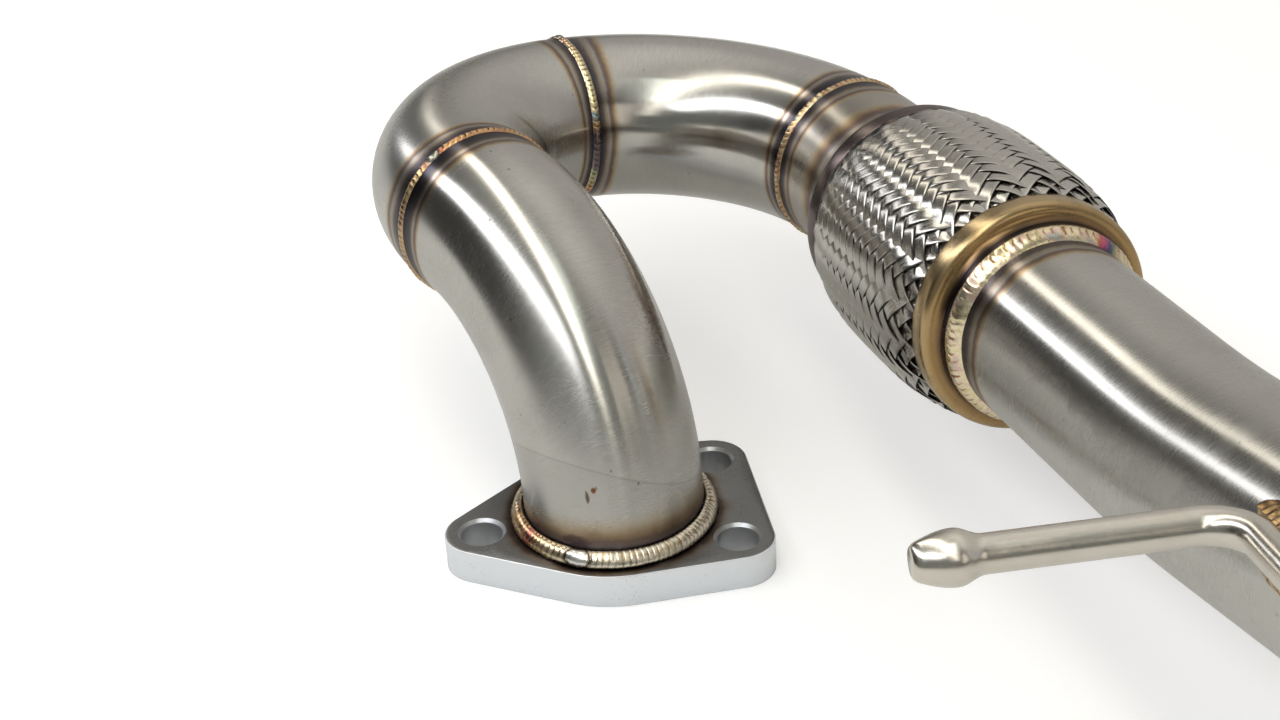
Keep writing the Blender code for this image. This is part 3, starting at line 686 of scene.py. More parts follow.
def handled(graph, place, stretch):
    """The polishing lines and the marks of handling."""
    grain = use_group(graph, brushed_group(), Place=place, Stretch=stretch)["Grain"]
    return grain, use_group(graph, handling_group(), Place=place)


def made_once(paint):
    """Gives a painter a new metal's graph; a name that is there already is taken as it is."""

    def material_of(name, *args, **more):
        material = bpy.data.materials.get(name)
        if material is None:
            material = bpy.data.materials.new(name)
            material.use_nodes = True
            graph = Graph(material.node_tree)
            graph.shader.inputs["Metallic"].default_value = 1.0
            paint(graph, *args, **more)
        return material

    return material_of


def band(graph, value, low, high, soft):
    """1 where the value lies between low and high."""
    above = graph.levels(value, low - soft, low + soft)
    return graph.times(above, graph.levels(value, high + soft, high - soft))


def darkened(graph, body, mask, share):
    return graph.mix(mask, body, graph.mix(1.0, body, (share, share, share), blend="MULTIPLY"))


def stained(graph, body, place, centre, size, shade):
    """A ragged spot on the surface: its centre, its half sizes and its colour with its amount."""
    far = graph.vector("LENGTH", graph.vector("DIVIDE", graph.vector("SUBTRACT", place, centre), size))
    far = graph.math("ADD", far, graph.centred(graph.noise(place, 700.0, 3.0, 0.6)))
    return graph.over(body, graph.levels(far, 1.15, 0.65), shade[3], shade[:3])


# Stains near the tube's foot: the centre, the half sizes, and the colour with its amount
STAINS = [
    ((-0.0080, -0.0307, 0.0309), (0.0008, 0.0008, 0.0022), (0.10, 0.055, 0.03, 0.85)),
    ((-0.0055, -0.0313, 0.0327), (0.0010, 0.0009, 0.0009), (0.20, 0.07, 0.02, 0.95)),
    ((-0.0140, -0.0285, 0.0172), (0.0060, 0.0040, 0.0018), (0.06, 0.04, 0.05, 0.7)),
]


def first_bend_marks(graph, body, place):
    """Rust spots near the foot, and the line where the bent part of the tube starts."""
    spot = graph.parts(place)
    past = graph.math("ADD", graph.math("MULTIPLY_ADD", spot["X"], 0.36, -0.0365), spot["Z"])
    front = graph.levels(spot["Y"], -0.001, -0.010)
    body = darkened(graph, body, graph.times(band(graph, past, -0.0003, 0.0002, 0.0002), front), 0.85)
    body = darkened(graph, body, graph.times(graph.levels(past, 0.0002, -0.0002), front), 0.93)
    for centre, size, shade in STAINS:
        body = stained(graph, body, place, centre, size, shade)
    return body


def elbow_dent_shading(graph, body, place):
    """The crease and the hollow that the bending left on the inside of the tight elbow, painted as shade, and
    the ridge beside them, painted light as a highlight.
    """
    spot = graph.parts(place)
    angle = graph.math("ARCTAN2", spot["Y"], spot["X"])
    lead = graph.math("MULTIPLY_ADD", spot["Z"], -32.1, 32.1 * 0.037 + 0.262)
    # Painted shade in the bending crease
    crease = band(graph, graph.math("ADD", angle, lead), -0.02, 0.10, 0.06)
    body = darkened(graph, body, graph.times(crease, band(graph, spot["Z"], 0.0385, 0.0575, 0.0030)), 0.50)
    run = band(graph, spot["Z"], 0.0700, 0.1030, 0.0020)
    # Painted shade in the hollow
    body = graph.over(body, graph.times(band(graph, angle, 0.375, 0.62, 0.03), run), 0.6, (0.20, 0.155, 0.11))
    # Painted highlight on the ridge beside the hollow
    ridge_highlight = graph.times(band(graph, angle, 0.335, 0.362, 0.010), run)
    return graph.over(body, ridge_highlight, 0.6, (0.85, 0.80, 0.72))


@made_once
def tube_steel(graph, metal, rough, blur, stretch, cloud=0.25, uneven=0.22, marks_and_shading=None):
    """Brushed stainless tube with heat tint, read from the straightened place and the tint's reach. blur is
    how far highlights spread across the polishing lines."""
    graph.shader.inputs["Anisotropic"].default_value = blur
    tangent = graph.add("ShaderNodeTangent", direction_type="UV_MAP", uv_map="grain")
    graph.feed(graph.shader.inputs["Tangent"], tangent.outputs[0])
    place = graph.place()
    grain, marks = handled(graph, place, stretch)
    steel = graph.mix(graph.levels(grain, 0.38, 0.62), toned(metal, 0.90), toned(metal, 1.08))
    haze = graph.levels(graph.noise(place, 22.0, 3.0, 0.55, 0.4), 0.35, 0.70)
    for mask, amount, shade in (
        (haze, cloud, toned(metal, 0.72)),
        (marks["Smudge"], 0.18, toned(metal, 0.62)),
        (marks["Scratch"], 0.30, toned(metal, 0.35)),
        (marks["Speck"], 0.7, (0.10, 0.07, 0.05)),
    ):
        steel = graph.over(steel, mask, amount, shade)
    heat = graph.value("heat_reach")
    tint = use_group(graph, heat_tint_group(), Heat=heat, Place=place, Metal=steel, Unevenness=uneven)
    finished = marks_and_shading(graph, tint["Colour"], place) if marks_and_shading else tint["Colour"]
    gloss = graph.levels(grain, 0.3, 0.7, rough - 0.03, rough + 0.03)
    gloss = graph.math("MULTIPLY_ADD", marks["Smudge"], 0.05, gloss)
    gloss = graph.math("MULTIPLY_ADD", haze, 0.4 * cloud * rough, gloss)
    gloss = graph.math("MULTIPLY_ADD", tint["Amount"], 0.06, gloss, clamp=True)
    graph.surface(finished, gloss, graph.math("MULTIPLY_ADD", marks["Scratch"], -0.4, grain), 0.000008, 0.4)


# Dark lines between the ripples: the crest's height where they start and are full, and their colour
DARK_CREASE = (0.40, 0.02, (0.10, 0.065, 0.050))
STRAW_CREASE = (0.36, 0.02, (0.34, 0.25, 0.16))
RED_CREASE = (0.30, 0.04, (0.36, 0.18, 0.10))
BARE_STEEL = (0.80, 0.79, 0.76)


@made_once
def weld_metal(graph, stops, rough=0.30, around=(), tack_shade=BARE_STEEL, crease=DARK_CREASE, burnt=0.0):
    """A rippled bead: film colours wander along it and darken between the ripples. around gives the colours
    at angles in degrees; the fourth value of each is its amount. burnt is where the black rims start."""
    place = graph.place()
    film = graph.noise(place, 190.0, 3.0, 0.6, 0.8)
    colours = graph.ramp(graph.levels(film, 0.30, 0.70), stops)["Color"]
    if around:
        spot = graph.parts(place)
        turn = graph.levels(graph.math("ARCTAN2", spot["Y"], spot["X"]), -math.pi, math.pi)
        turn = graph.math("MULTIPLY_ADD", graph.centred(film), 0.03, turn)
        local = graph.ramp(turn, [(0.5 + angle / 360.0, shade) for angle, shade in around])
        colours = graph.mix(local["Alpha"], colours, local["Color"])
    start, full, dark = crease
    colours = graph.mix(graph.levels(graph.value("crest"), start, full), colours, dark)
    if burnt:
        rim = graph.math("MULTIPLY_ADD", graph.centred(film), 0.25, graph.value("edge"))
        colours = graph.mix(graph.levels(rim, burnt, burnt + 0.14), colours, (0.020, 0.015, 0.014))
    tack = graph.value("tack")
    colours = graph.mix(graph.levels(tack, 0.35, 0.55), colours, tack_shade)
    edge = graph.times(graph.levels(tack, 0.02, 0.30), graph.levels(tack, 0.50, 0.32))
    colours = graph.mix(edge, colours, (0.07, 0.055, 0.045))
    gloss = graph.levels(film, 0.3, 0.7, rough - 0.06, rough + 0.10)
    graph.surface(colours, gloss, graph.noise(place, 1500.0, 3.0, 0.6), 0.00004)


GOLD_FILM = [
    (0.0, (0.62, 0.50, 0.30)),
    (0.30, (0.82, 0.70, 0.44)),
    (0.55, (0.86, 0.76, 0.55)),
    (0.75, (0.78, 0.55, 0.44)),
    (1.0, (0.50, 0.56, 0.52)),
]
COPPER_FILM = [
    (0.0, (0.20, 0.20, 0.24)),
    (0.25, (0.55, 0.33, 0.20)),
    (0.50, (0.66, 0.44, 0.24)),
    (0.75, (0.60, 0.52, 0.34)),
    (1.0, (0.32, 0.34, 0.36)),
]
STRAW_FILM = [
    (0.0, (0.50, 0.46, 0.38)),
    (0.3, (0.74, 0.68, 0.54)),
    (0.6, (0.86, 0.81, 0.70)),
    (0.8, (0.74, 0.62, 0.42)),
    (1.0, (0.50, 0.36, 0.24)),
]
BURNT_FILM = [
    (0.0, (0.07, 0.05, 0.045)),
    (0.3, (0.26, 0.15, 0.07)),
    (0.55, (0.56, 0.40, 0.19)),
    (0.75, (0.20, 0.11, 0.06)),
    (1.0, (0.66, 0.52, 0.28)),
]

# Colours round a bead: the angle in degrees, the colour and how much of it shows
FLANGE_ROUND = [
    (-180.0, (0.50, 0.30, 0.12, 0.75)),
    (-158.0, (0.62, 0.34, 0.14, 0.80)),
    (-150.0, (0.45, 0.05, 0.04, 0.85)),
    (-143.0, (0.66, 0.42, 0.18, 0.75)),
    (-125.0, (0.72, 0.56, 0.30, 0.50)),
    (-100.0, (0.86, 0.80, 0.66, 0.20)),
    (60.0, (0.86, 0.80, 0.66, 0.0)),
    (150.0, (0.50, 0.34, 0.18, 0.60)),
]
FIRST_ROUND = [
    (-140.0, (0.42, 0.30, 0.20, 0.50)),
    (-104.0, (0.66, 0.44, 0.20, 0.60)),
    (-98.0, (0.30, 0.08, 0.06, 0.80)),
    (-93.0, (0.72, 0.68, 0.52, 0.90)),
    (-86.0, (0.30, 0.05, 0.04, 0.85)),
    (-80.0, (0.72, 0.38, 0.16, 0.60)),
    (60.0, (0.66, 0.36, 0.18, 0.30)),
]
SECOND_ROUND = [
    (-110.0, (0.40, 0.38, 0.36, 0.60)),
    (-69.0, (0.78, 0.50, 0.38, 0.80)),
    (-45.0, (0.80, 0.62, 0.36, 0.80)),
    (-15.0, (0.80, 0.74, 0.46, 0.85)),
    (8.0, (0.74, 0.62, 0.34, 0.80)),
    (13.0, (0.12, 0.30, 0.42, 0.90)),
    (18.0, (0.70, 0.44, 0.18, 0.85)),
    (24.0, (0.15, 0.13, 0.16, 0.90)),
    (50.0, (0.17, 0.14, 0.17, 0.90)),
    (56.0, (0.50, 0.56, 0.34, 0.80)),
    (75.0, (0.66, 0.30, 0.14, 0.80)),
]
NECK_ROUND = [
    (-102.0, (0.80, 0.68, 0.42, 0.0)),
    (-98.0, (0.40, 0.34, 0.22, 0.70)),
    (-94.0, (0.08, 0.20, 0.20, 0.95)),
    (-90.0, (0.10, 0.09, 0.22, 0.95)),
    (-87.0, (0.62, 0.10, 0.26, 0.95)),
    (-84.0, (0.66, 0.16, 0.10, 0.90)),
    (-80.0, (0.80, 0.68, 0.42, 0.0)),
]

# Butt welds: the node, the metal and its colours round the bead, the ripples' lift and the tacks
RING_WELDS = [
    ("first_butt_weld", "copper weld", FIRST_ROUND, 0.9, [(-91.2, -0.2, 0.0019, 0.0004)]),
    ("second_butt_weld", "gold-blue weld", SECOND_ROUND, 0.9, [(-69.2, 0.0, 0.0024, 0.0007)]),
    ("third_butt_weld", "red-gold weld", (), 0.8, []),
]


@made_once
def cap_metal(graph, metal, dark, rough):
    """A pressed cap: its own heat colour, darker towards the neck, with stains."""
    graph.shader.inputs["Anisotropic"].default_value = 0.25
    place = graph.place()
    grain, marks = handled(graph, place, (160.0, 160.0, 2600.0))
    body = graph.mix(graph.levels(grain, 0.3, 0.7), toned(metal, 0.92), toned(metal, 1.08))
    stain = graph.levels(graph.noise(place, 120.0, 4.0, 0.65), 0.52, 0.75)
    body = graph.over(body, stain, 0.6, toned(metal, 0.55))
    heat = graph.math("ADD", graph.value("heat_reach"), graph.times(graph.noise(place, 60.0), 0.16))
    stops = [
        (0.12, (0.015, 0.015, 0.022, 1.0)),
        (0.34, (0.050, 0.042, 0.045, 1.0)),
        (0.46, (0.17, 0.10, 0.05, 0.95)),
        (0.66, (*dark, 0.65)),
        (0.95, (*dark, 0.0)),
    ]
    near = graph.ramp(heat, stops)
    body = graph.mix(near["Alpha"], body, near["Color"])
    gloss = graph.levels(grain, 0.2, 0.8, rough - 0.02, rough + 0.02)
    gloss = graph.math("MULTIPLY_ADD", marks["Smudge"], 0.10, gloss)
    graph.surface(body, gloss, graph.math("MULTIPLY_ADD", stain, -0.5, graph.times(grain, 0.04)), 0.00004)


@made_once
def plate_metal(graph, base):
    """Zinc-grey plate: speckled satin top, darker than the cut sides and chamfers, which are painted brighter
    and bluish as a painted sheen; brown stains by the weld.
    """
    place = graph.object_place()
    speckle = graph.noise(place, 1400.0, 2.0, 0.7)
    cloud = graph.noise(place, 60.0, 3.0, 0.55)
    body = graph.mix(graph.levels(speckle, 0.35, 0.65), toned(base, 0.55), toned(base, 0.95))
    body = graph.mix(graph.levels(cloud, 0.35, 0.7), body, toned(base, 0.86))
    bright = graph.value("bright")
    chosen = graph.levels(graph.noise(place, 90.0, 3.0, 0.6), 0.52, 0.62)
    pitted = graph.times(graph.levels(graph.cells(place, 700.0), 0.22, 0.10), chosen)
    # Painted sheen of the sides and chamfers, with pits
    body = graph.mix(bright, body, graph.over((0.88, 0.91, 0.97), pitted, 0.6, (0.35, 0.33, 0.32)))
    graph.feed(graph.shader.inputs["Metallic"], graph.math("MULTIPLY_ADD", bright, -0.45, 1.0))
    ring = graph.math("MULTIPLY_ADD", graph.centred(cloud), 0.9, graph.value("burn"))
    stops = [
        (0.0, (0.012, 0.010, 0.010, 1.0)),
        (0.30, (0.07, 0.045, 0.03, 0.9)),
        (0.8, (0.25, 0.18, 0.12, 0.0)),
    ]
    burn = graph.ramp(ring, stops)
    on_top = graph.times(burn["Alpha"], graph.math("SUBTRACT", 1.0, bright, clamp=True))
    body = graph.mix(on_top, body, burn["Color"])
    gloss = graph.mix(bright, graph.levels(speckle, 0.3, 0.7, 0.34, 0.52), (0.26, 0.26, 0.26))
    graph.surface(body, gloss, speckle, 0.00006)


@made_once
def wire_metal(graph, base):
    """Drawn wire laid side by side in a flat strand, with painted shade in its grooves and along its edges.
    """
    graph.shader.inputs["Anisotropic"].default_value = 0.5
    across = graph.value("across")
    lay = graph.times(graph.value("lay"), 90.0)
    lines = graph.add("ShaderNodeCombineXYZ", {0: graph.times(across, 60.0), 1: lay})
    grain = graph.noise(lines.outputs[0], 1.0, 2.0, 0.6)
    tone = graph.noise(graph.object_place(), 150.0, 2.0)
    body = graph.mix(graph.levels(grain, 0.3, 0.7), toned(base, 0.72), toned(base, 1.12))
    body = graph.mix(graph.levels(tone, 0.4, 0.8, 0.0, 0.5), body, toned(base, 0.75))
    # Painted shade in the grooves between the wires
    body = graph.over(body, graph.value("groove"), 0.30, (0.22, 0.20, 0.18))
    # Painted shade along each strand's edges, where the strands meet
    rim = graph.levels(graph.math("ABSOLUTE", graph.centred(across)), 0.46, 0.5)
    body = graph.mix(rim, body, (0.05, 0.045, 0.04))
    # Painted shadow in the gap where the braid runs in under the inlet cap's rim: black, with painted
    # orange-red glints
    gap_shadow_and_glints = graph.mix(graph.levels(tone, 0.55, 0.62), (0.015, 0.010, 0.010), (0.22, 0.06, 0.015))
    body = graph.mix(graph.value("shade"), body, gap_shadow_and_glints)
    graph.surface(body, graph.levels(grain, 0.2, 0.8, 0.16, 0.30), grain, 0.00003)


@made_once
def rod_metal(graph, base):
    """Polished bar with soft drawing lines and faint brown film."""
    place = graph.place()
    grain, marks = handled(graph, place, (2200.0, 2200.0, 60.0))
    body = graph.mix(graph.levels(grain, 0.3, 0.7), toned(base, 0.92), toned(base, 1.06))
    body = graph.over(body, marks["Smudge"], 0.35, (0.52, 0.44, 0.36))
    gloss = graph.math("MULTIPLY_ADD", marks["Smudge"], 0.08, graph.levels(grain, 0.2, 0.8, 0.16, 0.26))
    graph.surface(body, gloss, graph.noise(place, 900.0, 3.0), 0.00003, 0.4)


@made_once
def sheet_metal(graph):
    """Thin rolled sheet of the bellows and liner, browned by heat and made darker than the tube steel as
    painted shade where it shows through the braid's gaps.
    """
    place = graph.object_place()
    film = graph.noise(place, 70.0, 3.0, 0.6)
    body = graph.ramp(film, [(0.3, (0.30, 0.27, 0.24)), (0.6, (0.46, 0.42, 0.37)), (0.8, (0.40, 0.30, 0.19))])
    gloss = graph.levels(film, 0.3, 0.7, 0.30, 0.45)
    graph.surface(body["Color"], gloss, graph.noise(place, 900.0, 2.0), 0.00003, 0.4)


# Pieces


def both_faces(steps):
    """The insets and heights at the plate's lower face, and the same at its upper face."""
    return steps + [(inset, FLANGE_TOP - z) for inset, z in reversed(steps)]


def tangent_normal(first, second):
    """The outward normal of the outer tangent from one circle to the next, going anticlockwise."""
    (x1, y1, r1), (x2, y2, r2) = first, second
    span = Vector((x2 - x1, y2 - y1))
    lean = (r1 - r2) / span.length
    span.normalize()
    return span * lean + Vector((span.y, -span.x)) * math.sqrt(1 - lean * lean)


def outline_ring(bm, plate, inset, z):
    """The plate's outline, a belt round the hub and the three corners, moved inwards by inset."""
    corners = [(x, y, plate.corner - inset) for x, y in (plate.left, plate.right, plate.back)]
    hub = (0.0, 0.0, plate.hub - inset)
    circles = [corners[0], hub, corners[1], corners[2], hub]
    verts = []
    for k, (x, y, radius) in enumerate(circles):
        arriving = tangent_normal(circles[k - 1], circles[k])
        leaving = tangent_normal(circles[k], circles[(k + 1) % len(circles)])
        start = math.atan2(arriving.y, arriving.x)
        turn = (math.atan2(leaving.y, leaving.x) - start) % FULL_TURN
        steps = max(4, round(math.degrees(turn) / OUTLINE_STEP))
        for step in range(steps + 1):
            angle = start + turn * step / steps
            verts.append(bm.verts.new((x + radius * math.cos(angle), y + radius * math.sin(angle), z)))
    closed_loop(bm, verts)
    return verts


class JPIPE_OT_flange(bpy.types.Operator):
    """Build the three-bolt flange plate"""

    bl_idname = "jpipe.flange"
    bl_label = "Flange"

    def execute(self, context):
        plate = sizes("flange")
        holes = [tuple(centre) for centre in (plate.left, plate.right, plate.back)]
        bm = bmesh.new()
        bright = bm.loops.layers.float.new("bright")
        burn = bm.verts.layers.float.new("burn")
        edge = plate.edge
        rim = both_faces([(edge, 0.0), (0.3 * edge, 0.3 * edge), (0.0, edge)])
        rings = [[outline_ring(bm, plate, inset, z) for inset, z in rim]]
        bored = [(centre, plate.bolt, plate.chamfer, HOLE_SIDES) for centre in holes]
        for centre, radius, cut, segments in bored + [((0.0, 0.0), plate.bore, BORE_EDGE, BORE_SIDES)]:
            loops = []
            for wide, z in both_faces([(cut, 0.0), (0.0, cut)]):
                place = Matrix.Translation((*centre, z))
                made = bmesh.ops.create_circle(bm, segments=segments, radius=radius + wide, matrix=place)
                loops.append(made["verts"])
            rings.append(loops)
        for loops in rings:
            for first, second in zip(loops, loops[1:]):
                bmesh.ops.bridge_loops(bm, edges=ring_of_edges(first) + ring_of_edges(second))
        for end in (0, -1):
            border = [item for loops in rings for item in ring_of_edges(loops[end])]
            bmesh.ops.triangle_fill(bm, use_beauty=True, edges=list(dict.fromkeys(border)))
        level = [item for item in bm.edges if item.verts[0].co.z == item.verts[1].co.z]
        long = [item for item in level if item.calc_length() > LONG_EDGE]
        bmesh.ops.subdivide_edges(bm, edges=long, cuts=2)
        bmesh.ops.triangulate(bm, faces=[face for face in bm.faces if len(face.verts) > 4])
        for vert in bm.verts:
            away = math.hypot(vert.co.x, vert.co.y) - plate.bore - sizes("weld").fillet_leg
            vert[burn] = unit(away / BURN_REACH) if vert.co.z > FLANGE_TOP / 2 else 1.0
        bmesh.ops.recalc_face_normals(bm, faces=bm.faces)
        # Sides and the holes' chamfers get a painted sheen, brighter and bluish than the top; the face's
        # direction picks them
        for face in bm.faces:
            side_sheen = 0.0 if abs(face.normal.z) > 0.95 else 1.0
            middle = face.calc_center_median().xy
            if any(math.dist(middle, centre) < plate.bolt + plate.chamfer for centre in holes):
                side_sheen *= 0.4
            for loop in face.loops:
                loop[bright] = side_sheen
        metal = plate_metal("zinc-grey plate", tuple(sizes("finish").plate))
        piece(bm, "flange_plate", metal, ["inlet_flange"], sharp=25.0)
        return {"FINISHED"}


class JPIPE_OT_flange_weld(bpy.types.Operator):
    """Build the rippled fillet round the tube's foot"""

    bl_idname = "jpipe.flange_weld"
    bl_label = "Flange weld"

    def execute(self, context):
        weld = sizes("weld")
        radius = sizes("tube").radius
        sink, spare = 0.0002, 0.0005
        crown = []
        for out, up in quarter(9):
            bulge = 1.0 + 0.20 * out * up
            wide = (weld.fillet_leg + spare) * out**1.15 * bulge
            high = (weld.fillet_rise + spare) * up**1.15 * bulge
            crown.append((radius - sink + wide, FLANGE_TOP - sink + high))
        bead(
            "flange_fillet",
            crown,
            [(radius - 2 * sink, FLANGE_TOP - 2 * sink)],
            Matrix.Identity(4),
            weld_metal("straw weld", STRAW_FILM, 0.26, FLANGE_ROUND, crease=STRAW_CREASE, burnt=0.58),
            "straw_weld",
            ["inlet_flange_weld"],
            weld.fillet_pitch,
            seed=1.3,
            lift=0.9,
            tacks=[(-113.1, 0.10, 0.0031, 0.0007)],
        )
        return {"FINISHED"}


class JPIPE_OT_bends(bpy.types.Operator):
    """Build the five tubes along the pipe"""

    bl_idname = "jpipe.bends"
    bl_label = "Bends"

    def execute(self, context):
        plan = pipe_plan()
        finish = sizes("finish")
        steel, elbow = tuple(finish.steel), tuple(finish.elbow)
        lines = (260.0, 260.0, 5200.0)
        cross = (500.0, 500.0, 2600.0)
        spotted = tube_steel("spotted steel", steel, 0.235, 0.94, lines, marks_and_shading=first_bend_marks)
        satin = tube_steel("satin elbow", elbow, 0.26, 0.42, cross, cloud=0.5, marks_and_shading=elbow_dent_shading)
        bright = tube_steel("bright steel", steel, 0.18, 0.85, lines, cloud=0.15)
        hazed = tube_steel("hazed steel", tuple(finish.hazed), 0.26, 0.50, lines, cloud=0.6)
        brushed = tube_steel("brushed steel", steel, 0.25, 0.94, lines, uneven=0.45)
        for name, tints, metal in (
            ("first_bend", ((0.0060, 0.0260), (0.0058, 0.0125)), spotted),
            ("second_bend", ((0.0024, 0.0095), (0.0027, 0.0110)), satin),
            ("third_bend", ((0.0030, 0.0145), (0.0046, 0.0135)), bright),
            ("fourth_bend", ((0.0052, 0.0150), (0.0110, 0.0320)), hazed),
            ("outlet_pipe", ((0.0158, 0.0255), (0.0, 0.0)), brushed),
        ):
            swept_tube(name, plan[name], tints, metal)
        return {"FINISHED"}


class JPIPE_OT_butt_welds(bpy.types.Operator):
    """Build the three ring beads between the tubes"""

    bl_idname = "jpipe.butt_welds"
    bl_label = "Butt welds"

    def execute(self, context):
        plan = pipe_plan()
        weld = sizes("weld")
        radius = sizes("tube").radius
        half, root = weld.width / 2, 0.0006
        crown = []
        for across in (k / 4 - 1 for k in range(9)):
            crown.append((radius - BITE + (weld.crown + BITE) * (1 - across**2), across * half))
        back = [(radius - root, half - root), (radius - root, root - half)]
        for number, (node, metal, around, lift, tacks) in enumerate(RING_WELDS, 1):
            material = weld_metal(metal, COPPER_FILM, 0.28, around, (0.36, 0.34, 0.28))
            name, station = f"butt_bead_{number}", plan[f"weld_{number}"]
            look = {"seed": number * 2.7, "lift": lift, "tacks": tacks}
            bead(name, crown, back, station, material, "dark_weld", [node], weld.pitch, **look)
        return {"FINISHED"}


def cap_profile(flex):
    """The end cap from its neck's end round to the rim and back inside."""
    half = flex.span / 2
    shoulder = half - flex.neck_run
    curve = (flex.rim - flex.neck) / 2
    rim_start = shoulder - 2 * curve
    edge = rim_start - flex.rim_width
    bore = flex.rim - flex.cap_wall
    lip = 0.0007
    profile = [(flex.neck_bore + 0.0003, half + 0.0001), (flex.neck - 0.0003, half)]
    profile.append((flex.neck, half - 0.0004))
    profile += [(flex.neck + curve * (1 - fall), shoulder - curve * run) for run, fall in quarter(8)]
    profile += [(flex.rim - curve * (1 - run), rim_start + curve * fall) for run, fall in quarter(8, 1)]
    for share in (0.25, 0.50, 0.75):
        swell = 0.00012 * math.sin(math.pi * share)
        profile.append((flex.rim + swell, rim_start - flex.rim_width * 0.85 * share))
    profile += [(flex.rim - lip * (1 - fall), edge + lip * (1 - run)) for run, fall in quarter(4)]
    middle = (flex.neck_bore + bore) / 2
    profile += [(bore, edge + 0.0003), (bore, rim_start), (middle, rim_start + curve - flex.cap_wall / 2)]
    return profile + [(flex.neck_bore, shoulder - flex.cap_wall / 2)]


class JPIPE_OT_caps(bpy.types.Operator):
    """Build the two rolled caps of the flex joint"""

    bl_idname = "jpipe.caps"
    bl_label = "End caps"

    def execute(self, context):
        finish = sizes("finish")
        middle = pipe_plan()["flex"]
        profile = cap_profile(sizes("flex"))
        gold = cap_metal("gold cap", tuple(finish.cap_gold), (0.40, 0.24, 0.09), 0.25)
        dark = cap_metal("dark cap", tuple(finish.cap_dark), (0.16, 0.10, 0.07), 0.28)
        for name, node, turn, metal, slot in (
            ("outlet_cap", "flex_outlet_cap", Matrix.Identity(4), gold, "gold_cap"),
            ("inlet_cap", "flex_inlet_cap", FLIP, dark, "dark_cap"),
        ):
            bm = bmesh.new()
            heat = bm.verts.layers.float.new("heat_reach")
            verts = [bm.verts.new((radius, 0.0, z)) for radius, z in profile]
            for before, vert in zip(verts, verts[1:]):
                vert[heat] = before[heat] + (vert.co - before.co).length / CAP_HEAT_REACH
            spun(bm, verts + closed_loop(bm, verts), CAP_SIDES, use_merge=True)
            keep_places(bm)
            piece(bm, name, metal, [node], station=middle @ turn)
        return {"FINISHED"}


class JPIPE_OT_neck_welds(bpy.types.Operator):
    """Build the beads between the caps' necks and the tubes"""

    bl_idname = "jpipe.neck_welds"
    bl_label = "Neck welds"

    def execute(self, context):
        flex = sizes("flex")
        weld = sizes("weld")
        radius = sizes("tube").radius
        middle = pipe_plan()["flex"]
        start = flex.span / 2
        crown = []
        for share in (k / 9 for k in range(10)):
            fall = math.cos(share * math.pi / 2) ** 0.62
            out = radius - BITE + (flex.neck - radius + BITE) * fall
            crown.append((out, start - 0.0004 + (weld.neck + 0.0007) * share))
        back = [(radius - 0.0003, start + 0.0008)]
        back += [(out, start - 0.0012) for out in (radius - 0.0003, flex.neck - 0.0012)]
        gold = weld_metal("gold weld", GOLD_FILM, 0.24, NECK_ROUND, crease=RED_CREASE)
        look = {"seed": 5.1, "lift": 0.85, "bow": 0.75}
        for name, node, turn, metal, slot in (
            ("outlet_bead", "flex_outlet_weld", Matrix.Identity(4), gold, "straw_weld"),
            ("inlet_bead", "flex_inlet_weld", FLIP, weld_metal("copper weld", COPPER_FILM), "dark_weld"),
        ):
            bead(name, crown, back, middle @ turn, metal, slot, [node], weld.neck_pitch, **look)
        return {"FINISHED"}


def braid_shape(flex):
    """The braid's half length, and the function that gives the barrel's radius at a height."""
    curve = (flex.rim - flex.neck) / 2
    half = flex.span / 2 - flex.neck_run - 2 * curve - flex.rim_width - flex.mouth
    end = (flex.rim - flex.cap_wall) * math.cos(math.pi / 20) - 0.0003

    def radius(z):
        share = min(1.0, abs(z) / half)
        return end + flex.bulge * math.sqrt(1 - share**3)

    return half, radius


